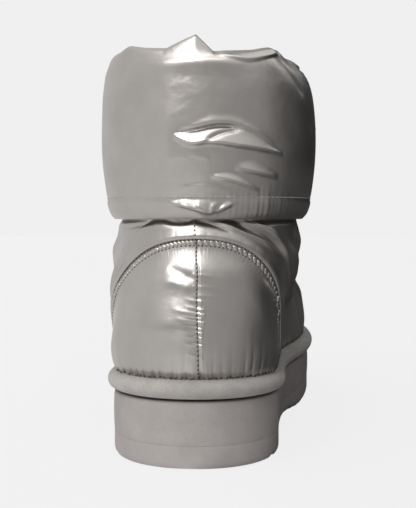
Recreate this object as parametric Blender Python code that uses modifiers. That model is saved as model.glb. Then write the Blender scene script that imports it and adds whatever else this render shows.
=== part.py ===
"""Left winter boot: a padded upper with a folded cuff on a flatform sole.

Metres, +Z up. +Y points to the toe and +X to the inner side of the foot.
The origin is on the floor, at the middle of the boot's box.
"""

import math
from collections import namedtuple

import bmesh
import bpy
import numpy as np
from mathutils import Matrix, Vector

MM = 0.001

# Driving sizes of the sole.
SOLE_LENGTH = 262 * MM
OUTSOLE_HEIGHT = 10 * MM
PLATFORM_HEEL = 28.6 * MM
PLATFORM_BALL = 26 * MM
TOE_SPRING = 7 * MM
TOE_SPRING_START = 55 * MM
TOE_SPRING_POWER = 1.8
ARCH_RISE = 3 * MM
ARCH_MIDDLE = -33 * MM
ARCH_HALF_LENGTH = 46 * MM
GROOVE_PITCH = 12.5 * MM
GROOVE_RADIUS = 3.4 * MM
GROOVE_DEPTH = 2.5 * MM
GROOVE_SIDES = 10
TREAD_END = 16 * MM
TREAD_EDGE_HEIGHT = 3.2 * MM
TREAD_EDGE_INSET = 1.8 * MM
TREAD_EDGE_BEND = 0.3
SOLE_EDGE_ROUND = 1.2 * MM
FLANK_FULLNESS = 0.3 * MM

# Driving sizes of the upper and of what lies on it.
UPPER_WALL = 4 * MM
SEAT_GAP = 0.3 * MM
RAND_HEIGHT = 9.6 * MM
RAND_OVERHANG = 3.0 * MM
RAND_FULLNESS = 0.75
INSOLE_THICKNESS = 5 * MM
INSOLE_CLEARANCE = 0.6 * MM
COUNTER_APEX = 97.4 * MM
COUNTER_MIDDLE_TURN = -0.0035
COUNTER_HALF_TURN = 0.13
COUNTER_END_TURN = 0.1254
COUNTER_ROUNDNESS = 0.27
COUNTER_GAP = 0.45 * MM
COUNTER_EDGE = 1.0 * MM
COUNTER_PUFF = 1.7 * MM
COUNTER_PUFF_POWER_UP = 4
COUNTER_PUFF_POWER_ACROSS = 6
SEAM_FOOT_TURN = 0.0079
SEAM_APEX_TURN = -0.0045
SEAM_HALF_TURN = 0.0012
CUFF_HEM = 105 * MM
CUFF_HEM_FRONT_RISE = 14 * MM
CUFF_RIM = 179 * MM
CUFF_PEAK = 6 * MM
CUFF_PEAK_TURN = -0.0067
CUFF_PEAK_HALF_TURN = 0.036

# Place of the foot in the boot's box, and the curve of the last.
HEEL_X = -6.35 * MM
TOE_SWING = 10.5 * MM
SWING_START = -80 * MM
SWING_LENGTH = 211 * MM
REAR_STATION = -90 * MM
LATERAL_BALL = 20 * MM
MEDIAL_BALL = 42 * MM
WAIST_STATION = -35 * MM
WAIST_LENGTH = 36 * MM
BACK_POWER = 2.1
FRONT_POWER = 2.3

# How finely the faceted solids follow their curves.
AROUND = 56
UPPER_RINGS = 21
RAND_STEPS = 7
RAND_INNER_SHARES = (0.96, 0.5, 0.05)
COUNTER_COLUMNS = 17
COUNTER_ROWS = 9
HEIGHT_SAMPLES = 240
NORMAL_STEP = 0.002
SHARP_ANGLE = math.radians(40)

# A section is a closed line round the foot. Its heights at back and front are taken before the
# toe's spring, and all columns but spring are in millimetres.
Section = namedtuple(
    "Section",
    "z_back z_front spring y_back y_front rear_half lateral_half medial_half"
    " waist back_cap front_cap x_shift",
)

SOLE_PLAN = Section(0, 0, 1, -131, 131, 37.6, 47.0, 48.2, 2.5, 39, 86, 0)

UPPER_SECTIONS = (
    Section(28.9, 24.9, 1.00, -126.6, 126.6, 34.4, 43.2, 44.8, 2.5, 36, 84, 0.0),
    Section(38.2, 33.5, 1.00, -127.6, 127.0, 35.2, 44.0, 45.4, 2.4, 37, 83, 0.0),
    Section(47.0, 43.0, 1.00, -130.4, 128.8, 36.8, 46.2, 46.4, 2.4, 38, 81, 0.0),
    Section(57.0, 55.5, 0.95, -130.0, 125.2, 37.2, 46.0, 44.6, 2.8, 39, 78, 0.2),
    Section(66.0, 65.5, 0.80, -128.8, 114.0, 38.2, 43.6, 40.8, 3.2, 39, 73, 0.6),
    Section(74.0, 74.0, 0.55, -127.3, 94.0, 39.8, 40.8, 37.6, 3.0, 40, 66, 1.4),
    Section(82.0, 82.0, 0.25, -125.8, 69.0, 41.0, 39.4, 37.4, 2.0, 41, 60, 2.6),
    Section(90.0, 91.5, 0.00, -124.5, 40.0, 41.7, 39.4, 38.6, 0.8, 42, 55, 3.5),
    Section(98.0, 103.5, 0.00, -123.9, 13.0, 41.7, 40.2, 40.0, 0.2, 43, 52, 4.2),
    Section(106.0, 116.0, 0.00, -123.7, -2.5, 41.4, 40.8, 40.8, 0.0, 44, 50, 4.5),
    Section(120.0, 127.0, 0.00, -123.5, -8.0, 41.4, 41.3, 41.3, 0.0, 44, 50, 4.6),
    Section(145.0, 147.0, 0.00, -123.3, -10.0, 41.5, 41.5, 41.5, 0.0, 44, 50, 4.6),
    Section(174.0, 174.0, 0.00, -123.0, -10.0, 41.4, 41.4, 41.4, 0.0, 44, 50, 4.6),
)

# The folded cuff's outline, from the hem's inner edge up the outside, over the fold and down to the
# rim. Out is measured from the shaft's surface, in millimetres. Height is a share of the way from
# hem to fold, and peaks says whether the point follows the peak at the back.
FoldPoint = namedtuple("FoldPoint", "out height peaks")

CUFF_OUTLINE = (
    FoldPoint(0.4, 0.012, False),
    FoldPoint(1.1, 0.000, False),
    FoldPoint(3.2, 0.030, False),
    FoldPoint(5.2, 0.095, False),
    FoldPoint(5.6, 0.130, False),
    FoldPoint(7.0, 0.240, False),
    FoldPoint(8.1, 0.450, False),
    FoldPoint(7.9, 0.640, False),
    FoldPoint(7.0, 0.800, False),
    FoldPoint(5.4, 0.920, False),
    FoldPoint(3.0, 0.985, True),
    FoldPoint(0.0, 1.000, True),
    FoldPoint(-2.8, 0.985, True),
    FoldPoint(-4.0, 0.943, True),
    FoldPoint(0.4, 0.937, False),
    FoldPoint(0.4, 0.700, False),
    FoldPoint(0.4, 0.450, False),
    FoldPoint(0.4, 0.250, False),
    FoldPoint(0.4, 0.110, False),
)

Finish = namedtuple("Finish", "red green blue roughness metallic")

FINISHES = {
    "silver_shell": Finish(0.56, 0.55, 0.53, 0.32, 0.85),
    "grey_suede": Finish(0.30, 0.285, 0.275, 0.92, 0.0),
    "platform_foam": Finish(0.33, 0.30, 0.29, 0.75, 0.0),
    "tread_rubber": Finish(0.31, 0.28, 0.27, 0.70, 0.0),
    "grey_fleece": Finish(0.42, 0.41, 0.40, 0.95, 0.0),
}


def clear_scene():
    for old in list(bpy.data.objects):
        bpy.data.objects.remove(old, do_unlink=True)


def new_collection(name, hidden=False):
    made = bpy.data.collections.new(name)
    bpy.context.scene.collection.children.link(made)
    made.hide_render = hidden
    return made


def make_material(name, finish):
    made = bpy.data.materials.new(name)
    made.use_nodes = True
    shader = made.node_tree.nodes["Principled BSDF"]
    shader.inputs["Base Color"].default_value = (finish.red, finish.green, finish.blue, 1)
    shader.inputs["Roughness"].default_value = finish.roughness
    shader.inputs["Metallic"].default_value = finish.metallic


def smoothstep(share):
    share = np.clip(share, 0, 1)
    return share * share * (3 - 2 * share)


def toe_lift(y):
    """Height that the toe's spring adds at a station along the foot."""
    share = np.clip((y - TOE_SPRING_START) / (SOLE_LENGTH / 2 - TOE_SPRING_START), 0, 1)
    return TOE_SPRING * share**TOE_SPRING_POWER


def arch_lift(y):
    """Height of the sole's underside over the floor between heel and ball."""
    share = np.clip((y - ARCH_MIDDLE) / ARCH_HALF_LENGTH, -1, 1)
    return ARCH_RISE * np.cos(share * math.pi / 2) ** 2


def platform_top(y):
    """Height of the platform's upper face at a station along the foot."""
    heel_y = -SOLE_LENGTH / 2
    fall = (PLATFORM_BALL - PLATFORM_HEEL) / (MEDIAL_BALL - heel_y)
    return PLATFORM_HEEL + fall * (y - heel_y) + toe_lift(y)


def end_cap(distance, length, power):
    """Share of the full width near a section's end: 0 at the end, 1 from the cap's length on."""
    short = np.clip(1 - distance / length, 0, 1)
    return (1 - short**power) ** (1 / power)


def section_points(row, turns):
    """Points of a section's closed line. Turn 0 is the heel, 0.25 the inner side, 0.5 the toe."""
    y_back, y_front = row.y_back * MM, row.y_front * MM
    share = (1 - np.cos(2 * math.pi * turns)) / 2
    y = y_back + (y_front - y_back) * share
    medial = np.sin(2 * math.pi * turns) >= 0
    ball_y = np.where(medial, MEDIAL_BALL, LATERAL_BALL)
    ball_half = np.where(medial, row.medial_half, row.lateral_half) * MM
    rear_half = row.rear_half * MM
    widen = smoothstep((y - REAR_STATION) / (ball_y - REAR_STATION))
    waist = row.waist * MM * np.exp(-(((y - WAIST_STATION) / WAIST_LENGTH) ** 2))
    half = rear_half + (ball_half - rear_half) * widen - np.where(medial, waist, 0)
    half = half * end_cap(y - y_back, row.back_cap * MM, BACK_POWER)
    half = half * end_cap(y_front - y, row.front_cap * MM, FRONT_POWER)
    swing = TOE_SWING * smoothstep((y - SWING_START) / SWING_LENGTH)
    x = HEEL_X + row.x_shift * MM + swing + np.where(medial, half, -half)
    z = (row.z_back + (row.z_front - row.z_back) * share) * MM + row.spring * toe_lift(y)
    return np.stack([x, y, z], axis=-1)


def section_at(levels):
    """The sections at fractional rows of the table, on Catmull-Rom curves through its rows."""
    rows = np.array(UPPER_SECTIONS)
    last = len(rows) - 1
    low = np.clip(np.floor(levels).astype(int), 0, last - 1)
    t = (levels - low)[..., None]
    before, start = rows[np.maximum(low - 1, 0)], rows[low]
    end, after = rows[low + 1], rows[np.minimum(low + 2, last)]
    leave, arrive = (end - before) / 2, (after - start) / 2
    value = (
        (2 * t**3 - 3 * t**2 + 1) * start
        + (t**3 - 2 * t**2 + t) * leave
        + (3 * t**2 - 2 * t**3) * end
        + (t**3 - t**2) * arrive
    )
    return Section(*np.moveaxis(value, -1, 0))


def upper_points(turns, levels, out=0.0, sideways=False):
    """Points on the upper's outer face, moved outwards along its normal, or level with the floor."""
    here = section_points(section_at(levels), turns)
    ahead = section_points(section_at(levels), turns + NORMAL_STEP)
    behind = section_points(section_at(levels), turns - NORMAL_STEP)
    over = section_points(section_at(np.minimum(levels + NORMAL_STEP, len(UPPER_SECTIONS) - 1)), turns)
    under = section_points(section_at(np.maximum(levels - NORMAL_STEP, 0)), turns)
    normal = np.cross(ahead - behind, over - under)
    if sideways:
        normal[..., 2] = 0
    return here + out * normal / np.linalg.norm(normal, axis=-1, keepdims=True)


def levels_at_height(turns, heights):
    """Table positions where the upper's outer face passes the given heights, one for each turn."""
    levels = np.linspace(0, len(UPPER_SECTIONS) - 1, HEIGHT_SAMPLES)
    columns = section_points(section_at(levels[:, None] + 0 * turns), turns + 0 * levels[:, None])
    return np.array([np.interp(h, z, levels) for h, z in zip(heights, columns[..., 2].T)])


def plan_outline(inset, turns):
    """The sole's outline in plan, moved inwards by a distance."""
    line = section_points(SOLE_PLAN, turns)[:, :2]
    ahead = section_points(SOLE_PLAN, turns + NORMAL_STEP)[:, :2]
    behind = section_points(SOLE_PLAN, turns - NORMAL_STEP)[:, :2]
    along = ahead - behind
    outward = np.stack([along[:, 1], -along[:, 0]], axis=-1)
    outward /= np.linalg.norm(outward, axis=1, keepdims=True)
    return line - inset * outward


def full_turns():
    return np.arange(AROUND) / AROUND


def strip_cap(start, count, upward):
    """Faces across a closed ring, in strips that join the points facing each other over its length."""
    faces = []
    for i in range(count // 2):
        loop = [i, i + 1, count - i - 1, (count - i) % count]
        loop = list(dict.fromkeys(loop))
        faces.append([start + k for k in (loop if upward else loop[::-1])])
    return faces


def loft(name, rings, collection, finish, tube=False, capped=True, fan=False):
    """A mesh object through closed rings that run the same way round, seen from above.

    A tube joins its last ring to its first. Otherwise the two ends are open, or capped: in strips
    over the ring's length, or as one flat face where fan is set.
    """
    count = len(rings[0])
    faces = []
    for low in range(len(rings) if tube else len(rings) - 1):
        high = (low + 1) % len(rings)
        for i in range(count):
            j = (i + 1) % count
            faces.append([low * count + i, low * count + j, high * count + j, high * count + i])
    last = (len(rings) - 1) * count
    if fan:
        faces.append(list(range(count))[::-1])
        faces.append(list(range(last, last + count)))
    elif capped and not tube:
        faces += strip_cap(0, count, upward=False)
        faces += strip_cap(last, count, upward=True)
    mesh = bpy.data.meshes.new(name)
    mesh.from_pydata(np.concatenate(rings).tolist(), [], faces)
    mesh.materials.append(bpy.data.materials[finish])
    mesh.shade_smooth()
    mesh.set_sharp_from_angle(angle=SHARP_ANGLE)
    made = bpy.data.objects.new(name, mesh)
    collection.objects.link(made)
    return made


def sole_ring(inset, height_of):
    """One closed ring of the sole: an inset of its outline, at a height that depends on the station."""
    plan = plan_outline(inset, full_turns())
    return np.column_stack([plan, height_of(plan[:, 1])])


def underside(y):
    """Height of the tread's lowest face over the floor."""
    return toe_lift(y) + arch_lift(y)


def layer_line(y):
    """Height of the line between outsole and platform."""
    return toe_lift(y) + OUTSOLE_HEIGHT


def groove_cutter(cutters):
    """Round bars across the sole, one for each groove of the tread."""
    bars = bmesh.new()
    groove_count = int((SOLE_LENGTH - 2 * TREAD_END) / GROOVE_PITCH)
    for i in range(groove_count):
        y = (i - (groove_count - 1) / 2) * GROOVE_PITCH
        centre = Vector((0, y, underside(y) + GROOVE_DEPTH - GROOVE_RADIUS))
        bmesh.ops.create_cone(
            bars,
            cap_ends=True,
            segments=GROOVE_SIDES,
            radius1=GROOVE_RADIUS,
            radius2=GROOVE_RADIUS,
            depth=SOLE_LENGTH / 2,
            matrix=Matrix.Translation(centre) @ Matrix.Rotation(math.pi / 2, 4, "Y"),
        )
    mesh = bpy.data.meshes.new("tread_grooves")
    bars.to_mesh(mesh)
    bars.free()
    cutter = bpy.data.objects.new("tread_grooves", mesh)
    cutter.hide_render = True
    cutter.display_type = "WIRE"
    cutters.objects.link(cutter)
    return cutter


def build_outsole(parts, cutters):
    """Tread layer: a slab that follows arch and toe spring, with rounded grooves across its underside."""
    rings = [
        sole_ring(TREAD_EDGE_INSET, underside),
        sole_ring(
            TREAD_EDGE_INSET * TREAD_EDGE_BEND,
            lambda y: underside(y) + TREAD_EDGE_HEIGHT * TREAD_EDGE_BEND,
        ),
        sole_ring(0, lambda y: underside(y) + TREAD_EDGE_HEIGHT),
        sole_ring(0, layer_line),
    ]
    slab = loft("outsole", rings, parts, "tread_rubber")
    cut = slab.modifiers.new("grooves", "BOOLEAN")
    cut.operation = "DIFFERENCE"
    cut.object = groove_cutter(cutters)


def build_midsole(parts):
    """Foam platform with a barely full flank and rounded edges."""
    rings = [
        sole_ring(SOLE_EDGE_ROUND / 2, lambda y: layer_line(y) + SEAT_GAP),
        sole_ring(0, lambda y: layer_line(y) + SEAT_GAP + SOLE_EDGE_ROUND / 2),
        sole_ring(-FLANK_FULLNESS, lambda y: (layer_line(y) + platform_top(y)) / 2),
        sole_ring(0, lambda y: platform_top(y) - SOLE_EDGE_ROUND),
        sole_ring(SOLE_EDGE_ROUND, platform_top),
    ]
    loft("midsole", rings, parts, "platform_foam")


def rand_top(turns):
    """Height of the rand's upper edge round the foot."""
    return platform_top(section_points(SOLE_PLAN, turns)[:, 1]) + RAND_HEIGHT


def build_rand(parts):
    """Padded band on the platform's edge: a bead that bulges past the sole, open round the upper."""
    turns = full_turns()
    floor = rand_top(turns) - RAND_HEIGHT + SEAT_GAP
    rings = []
    for share in RAND_INNER_SHARES:
        levels = levels_at_height(turns, floor + share * (RAND_HEIGHT - SEAT_GAP))
        rings.append(upper_points(turns, levels, SEAT_GAP))
    upper_edge, lower_edge = rings[0], rings[-1]
    outline = plan_outline(-RAND_OVERHANG, turns)
    for step in range(1, RAND_STEPS):
        angle = math.pi * step / RAND_STEPS
        ring = lower_edge + (upper_edge - lower_edge) * (1 - math.cos(angle)) / 2
        ring[:, :2] += (outline - ring[:, :2]) * math.sin(angle) ** RAND_FULLNESS
        ring[:, 2] = np.maximum(ring[:, 2], platform_top(ring[:, 1]) + SEAT_GAP)
        rings.append(ring)
    loft("rand", rings, parts, "grey_suede", tube=True)


def build_upper(parts):
    """Foot and shaft in one wall, open at the collar and underneath."""
    turns = full_turns()
    levels = np.linspace(0, len(UPPER_SECTIONS) - 1, UPPER_RINGS)
    rings = [upper_points(turns, np.full(AROUND, level)) for level in levels]
    shell = loft("upper", rings, parts, "silver_shell", capped=False)
    wall = shell.modifiers.new("wall", "SOLIDIFY")
    wall.thickness = UPPER_WALL
    wall.offset = -1
    wall.use_even_offset = True


def counter_top(turns):
    """Height of the arched seam over the counter."""
    share = (turns - COUNTER_MIDDLE_TURN) / COUNTER_HALF_TURN
    fall = COUNTER_ROUNDNESS * share**2 + (1 - COUNTER_ROUNDNESS) * share**4
    return COUNTER_APEX + (PLATFORM_HEEL + RAND_HEIGHT - COUNTER_APEX) * fall


def seam_turn(up):
    """Place of the centre-back seam round the foot, at a share of its way from rand to arch."""
    return SEAM_FOOT_TURN + (SEAM_APEX_TURN - SEAM_FOOT_TURN) * up**2


def build_counter(name, side, parts):
    """One padded half of the heel counter, from the centre-back seam to where its arch meets the rand."""
    far = COUNTER_MIDDLE_TURN + side * COUNTER_END_TURN
    across = np.linspace(0, 1, COUNTER_COLUMNS)
    inner, outer = [], []
    for up in np.linspace(0, 1, COUNTER_ROWS):
        near = seam_turn(up) + side * SEAM_HALF_TURN
        turns = near + (far - near) * across
        low = rand_top(turns) + SEAT_GAP
        levels = levels_at_height(turns, low + (counter_top(turns) - low) * up)
        puff_up = 1 - (2 * up - 1) ** COUNTER_PUFF_POWER_UP
        puff_across = 1 - (2 * across - 1) ** COUNTER_PUFF_POWER_ACROSS
        out = COUNTER_EDGE + COUNTER_PUFF * puff_up * puff_across
        inner.append(upper_points(turns, levels, COUNTER_GAP))
        outer.append(upper_points(turns, levels, out[:, None]))
    rings = []
    for column in range(COUNTER_COLUMNS):
        face = [row[column] for row in outer]
        back = [row[column] for row in inner]
        rings.append(np.array(face + back[::-1])[::-side])
    loft(name, rings, parts, "silver_shell", fan=True)


def cuff_fold(turns):
    """Height of the cuff's fold: level all round, with a small peak near the back seam."""
    away = np.abs((turns - CUFF_PEAK_TURN + 0.5) % 1 - 0.5) / CUFF_PEAK_HALF_TURN
    return CUFF_RIM + CUFF_PEAK * np.maximum(0, 1 - away)


def cuff_hem(turns):
    """Height of the cuff's hem: level at the back and sides, higher where the shaft meets the instep."""
    forward = (1 - np.cos(2 * math.pi * turns)) / 2
    return CUFF_HEM + CUFF_HEM_FRONT_RISE * smoothstep(2 * forward - 1)


def build_cuff(parts):
    """The shaft's top, folded outwards: one closed outline carried round the shaft and over its rim."""
    turns = full_turns()
    rings = []
    for point in CUFF_OUTLINE:
        fold = cuff_fold(turns) if point.peaks else CUFF_RIM
        hem = cuff_hem(turns)
        heights = hem + point.height * (fold - hem)
        ring = upper_points(turns, levels_at_height(turns, heights), point.out * MM, sideways=True)
        ring[:, 2] = heights
        rings.append(ring)
    loft("cuff", rings, parts, "silver_shell", tube=True)


def build_insole(parts):
    """Footbed on the platform, inside the upper's wall."""
    turns = full_turns()
    base = rand_top(turns) - RAND_HEIGHT + SEAT_GAP
    rings = []
    for rise in (0, INSOLE_THICKNESS):
        levels = levels_at_height(turns, base + rise)
        ring = upper_points(turns, levels, -UPPER_WALL - INSOLE_CLEARANCE)
        ring[:, 2] = platform_top(ring[:, 1]) + SEAT_GAP + rise
        rings.append(ring)
    loft("insole", rings, parts, "grey_fleece")


def main():
    clear_scene()
    parts = new_collection("winter_boot")
    cutters = new_collection("cutters", hidden=True)
    for name, finish in FINISHES.items():
        make_material(name, finish)
    build_outsole(parts, cutters)
    build_midsole(parts)
    build_rand(parts)
    build_upper(parts)
    build_counter("counter_lateral", -1, parts)
    build_counter("counter_medial", 1, parts)
    build_cuff(parts)
    build_insole(parts)


main()
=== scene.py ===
"""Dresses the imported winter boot: crumpled silver nylon, suede rand, foam sole and fleece lining.

Metres, +Z up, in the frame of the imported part. +Y points to the toe and +X to the inner side.
"""

import math
from collections import namedtuple

import bmesh
import bpy
import numpy as np
from mathutils import Matrix, Vector
from mathutils.bvhtree import BVHTree
from mathutils.kdtree import KDTree


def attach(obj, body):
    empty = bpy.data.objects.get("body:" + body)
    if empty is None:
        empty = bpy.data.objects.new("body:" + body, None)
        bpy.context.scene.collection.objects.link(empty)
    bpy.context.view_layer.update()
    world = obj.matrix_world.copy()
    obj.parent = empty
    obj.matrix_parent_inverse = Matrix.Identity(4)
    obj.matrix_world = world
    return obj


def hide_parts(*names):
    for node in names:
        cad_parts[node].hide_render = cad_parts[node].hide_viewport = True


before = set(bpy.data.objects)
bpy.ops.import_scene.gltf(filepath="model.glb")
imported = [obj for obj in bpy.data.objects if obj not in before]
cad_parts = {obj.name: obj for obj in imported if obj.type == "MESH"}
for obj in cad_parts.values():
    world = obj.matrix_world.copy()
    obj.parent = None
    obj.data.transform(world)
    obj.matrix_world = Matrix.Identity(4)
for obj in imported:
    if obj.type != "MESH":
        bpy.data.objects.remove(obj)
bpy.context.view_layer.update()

MM = 0.001

# Sizes of the solids, which the pieces follow.
SOLE_LENGTH = 262 * MM
OUTSOLE_HEIGHT = 10 * MM
PLATFORM_HEEL = 28.6 * MM
PLATFORM_BALL = 26 * MM
TOE_SPRING = 7 * MM
TOE_SPRING_START = 55 * MM
TOE_SPRING_POWER = 1.8
ARCH_RISE = 3 * MM
ARCH_MIDDLE = -33 * MM
ARCH_HALF_LENGTH = 46 * MM
GROOVE_PITCH = 12.5 * MM
GROOVE_RADIUS = 3.4 * MM
GROOVE_DEPTH = 2.5 * MM
TREAD_END = 16 * MM
TREAD_EDGE_HEIGHT = 3.2 * MM
TREAD_EDGE_INSET = 1.8 * MM
SOLE_EDGE_ROUND = 1.2 * MM
FLANK_FULLNESS = 0.3 * MM
PARTING_ROUND = 0.08 * MM
UPPER_WALL = 4 * MM
SEAT_GAP = 0.3 * MM
RAND_HEIGHT = 9.6 * MM
RAND_OVERHANG = 3.0 * MM
RAND_FULLNESS = 0.75
INSOLE_THICKNESS = 5 * MM
INSOLE_CLEARANCE = 0.6 * MM
COUNTER_FOOT = PLATFORM_HEEL + RAND_HEIGHT
COUNTER_APEX = 97.4 * MM
COUNTER_MIDDLE_TURN = -0.0035
COUNTER_HALF_TURN = 0.13
COUNTER_ROUNDNESS = 0.27
COUNTER_PUFF = 2.2 * MM
SEAM_FOOT_TURN = 0.0079
SEAM_APEX_TURN = -0.0045
SEAM_SLIT_TURN = 0.0002
CUFF_HEM = 105 * MM
CUFF_HEM_FRONT_RISE = 14 * MM
CUFF_RIM = 179 * MM
HEEL_X = -6.35 * MM
TOE_SWING = 10.5 * MM
SWING_START = -80 * MM
SWING_LENGTH = 211 * MM
REAR_STATION = -90 * MM
LATERAL_BALL = 20 * MM
MEDIAL_BALL = 42 * MM
WAIST_STATION = -35 * MM
WAIST_LENGTH = 36 * MM
BACK_POWER = 2.1
FRONT_POWER = 2.3

Section = namedtuple(
    "Section",
    "z_back z_front spring y_back y_front rear_half lateral_half medial_half"
    " waist back_cap front_cap x_shift",
)

SOLE_PLAN = Section(0, 0, 1, -131, 131, 37.6, 47.0, 48.2, 2.5, 39, 86, 0)

UPPER_SECTIONS = (
    Section(28.9, 24.9, 1.00, -126.6, 126.6, 34.4, 43.2, 44.8, 2.5, 36, 84, 0.0),
    Section(38.2, 33.5, 1.00, -127.6, 127.0, 35.2, 44.0, 45.4, 2.4, 37, 83, 0.0),
    Section(47.0, 43.0, 1.00, -130.4, 128.8, 36.8, 46.2, 46.4, 2.4, 38, 81, 0.0),
    Section(57.0, 55.5, 0.95, -130.0, 125.2, 37.2, 46.0, 44.6, 2.8, 39, 78, 0.2),
    Section(66.0, 65.5, 0.80, -128.8, 114.0, 38.2, 43.6, 40.8, 3.2, 39, 73, 0.6),
    Section(74.0, 74.0, 0.55, -127.3, 94.0, 39.8, 40.8, 37.6, 3.0, 40, 66, 1.4),
    Section(82.0, 82.0, 0.25, -125.8, 69.0, 41.0, 39.4, 37.4, 2.0, 41, 60, 2.6),
    Section(90.0, 91.5, 0.00, -124.5, 40.0, 41.7, 39.4, 38.6, 0.8, 42, 55, 3.5),
    Section(98.0, 103.5, 0.00, -123.9, 13.0, 41.7, 40.2, 40.0, 0.2, 43, 52, 4.2),
    Section(106.0, 116.0, 0.00, -123.7, -2.5, 41.4, 40.8, 40.8, 0.0, 44, 50, 4.5),
    Section(120.0, 127.0, 0.00, -123.5, -8.0, 41.4, 41.3, 41.3, 0.0, 44, 50, 4.6),
    Section(145.0, 147.0, 0.00, -123.3, -10.0, 41.5, 41.5, 41.5, 0.0, 44, 50, 4.6),
    Section(174.0, 174.0, 0.00, -123.0, -10.0, 41.4, 41.4, 41.4, 0.0, 44, 50, 4.6),
)
TOP_LEVEL = len(UPPER_SECTIONS) - 1

# The folded cuff's outline from hem to rim: out from the shaft in millimetres, height as a share of
# the way from hem to fold, and how far the point follows the peak at the back.
FoldPoint = namedtuple("FoldPoint", "out height peak")

CUFF_OUTLINE = (
    FoldPoint(0.6, 0.012, 0),
    FoldPoint(1.6, 0.000, 0),
    FoldPoint(3.4, 0.020, 0),
    FoldPoint(5.0, 0.062, 0),
    FoldPoint(5.7, 0.100, 0),
    FoldPoint(5.6, 0.126, 0),
    FoldPoint(6.0, 0.150, 0),
    FoldPoint(7.0, 0.240, 0),
    FoldPoint(8.1, 0.450, 0),
    FoldPoint(7.9, 0.640, 0),
    FoldPoint(7.0, 0.800, 0),
    FoldPoint(5.4, 0.920, 0.2),
    FoldPoint(3.0, 0.985, 1),
    FoldPoint(0.0, 1.000, 1),
    FoldPoint(-2.8, 0.985, 1),
    FoldPoint(-4.0, 0.943, 1),
)
CUFF_BACK = tuple(FoldPoint(0.6, height, 0) for height in (0.937, 0.700, 0.450, 0.250, 0.060))
HEM_LINE_SHARE = 0.126
RIM_FROM = 0.962

# The rim's rise over its level line, in millimetres: two corners, and a peak near the back seam.
RimPoint = namedtuple("RimPoint", "turn rise")

RIM_LINE = (
    RimPoint(-0.500, 0.0),
    RimPoint(-0.250, 0.0),
    RimPoint(-0.135, 0.4),
    RimPoint(-0.1165, 1.6),
    RimPoint(-0.085, -0.4),
    RimPoint(-0.057, -1.4),
    RimPoint(-0.047, -1.6),
    RimPoint(-0.007, 3.6),
    RimPoint(0.0135, -3.6),
    RimPoint(0.035, -3.4),
    RimPoint(0.067, -2.6),
    RimPoint(0.095, -0.4),
    RimPoint(0.1145, 0.2),
    RimPoint(0.130, -0.8),
    RimPoint(0.250, 0.0),
    RimPoint(0.500, 0.0),
)

# How finely the pieces follow their curves.
UPPER_AROUND = 420
UPPER_ROWS = 186
LINING_AROUND = 240
LINING_ROWS = 120
CUFF_AROUND = 480
CUFF_ROWS = 150
COUNTER_COLUMNS = 190
COUNTER_ROWS = 150
ARCH_SAMPLES = 260
LIP_COLUMNS = 320
RAND_AROUND = 520
RAND_STEPS = 26
SOLE_AROUND = 300
HALVINGS = 22

# A crease runs through points seen from one side, in millimetres: x and z from the back or front,
# y and z from the inner or outer side, x and y from the top. Width is half its breadth and rise its
# height, below zero for a trough. Lean makes one flank longer: above zero the right one along the line.
Crease = namedtuple("Crease", "side line width rise lean pucker", defaults=(0, False))


def pucker(line, width, rise):
    """A crease that starts at full height at the back seam and runs out into the cloth."""
    return Crease("back", line, width, rise, pucker=True)


# A fold is a facet of slack cloth that comes out from its top line to its crest and drops back under
# it. Both lines go from left to right, seen from the back, in millimetres.
Fold = namedtuple("Fold", "top crest rise drop")

# The axes across and up in the view of each side, and the way that side faces.
SIDES = {
    "back": (0, 2, (0, -1, 0)),
    "front": (0, 2, (0, 1, 0)),
    "inner": (1, 2, (1, 0, 0)),
    "outer": (1, 2, (-1, 0, 0)),
    "top": (0, 1, (0, 0, 1)),
}

CUFF_FOLDS = (
    Fold(
        ((-13, 141.0), (-4.4, 142.6), (5.9, 144.0), (14, 143.6), (23.6, 139.6), (32, 133.2)),
        ((-13, 139.6), (-6, 136.4), (1, 137.0), (12.8, 135.6), (21, 134.6), (32, 132.6)),
        2.8,
        2.2,
    ),
    Fold(
        ((-8, 143.2), (-2, 146.4), (5, 148.9), (13.5, 147.8), (22, 143.4), (29.5, 137.0)),
        ((-8, 142.4), (-2, 143.2), (5, 144.6), (13, 144.3), (20.5, 141.8), (29.5, 135.8)),
        0.75,
        1.2,
    ),
    Fold(((12.5, 129.3), (20.4, 129.8), (30, 125.0)), ((12.5, 126.2), (19, 125.0), (30, 122.6)), 1.7, 2.2),
    Fold(((3, 124.8), (11, 124.8), (22, 118.6)), ((3, 122.8), (11, 121.2), (22, 117.2)), 1.8, 2.0),
    Fold(((-10, 119.6), (1.5, 120.7), (12.7, 117.2)), ((-10, 118.2), (1.5, 118.4), (12.7, 116.0)), 0.7, 1.6),
    Fold(
        ((6, 175.6), (19.4, 176.2), (26.8, 178), (34, 179.4)),
        ((6, 173.0), (19.4, 171.6), (26.8, 174.2), (34, 178.4)),
        1.1,
        1.6,
    ),
    Fold(
        ((-15, 112.8), (-6, 113.2), (3, 113.0), (12, 112.6)),
        ((-15, 111.8), (-6, 110.2), (1.5, 108.4), (12, 111.6)),
        1.9,
        1.6,
    ),
)

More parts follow.
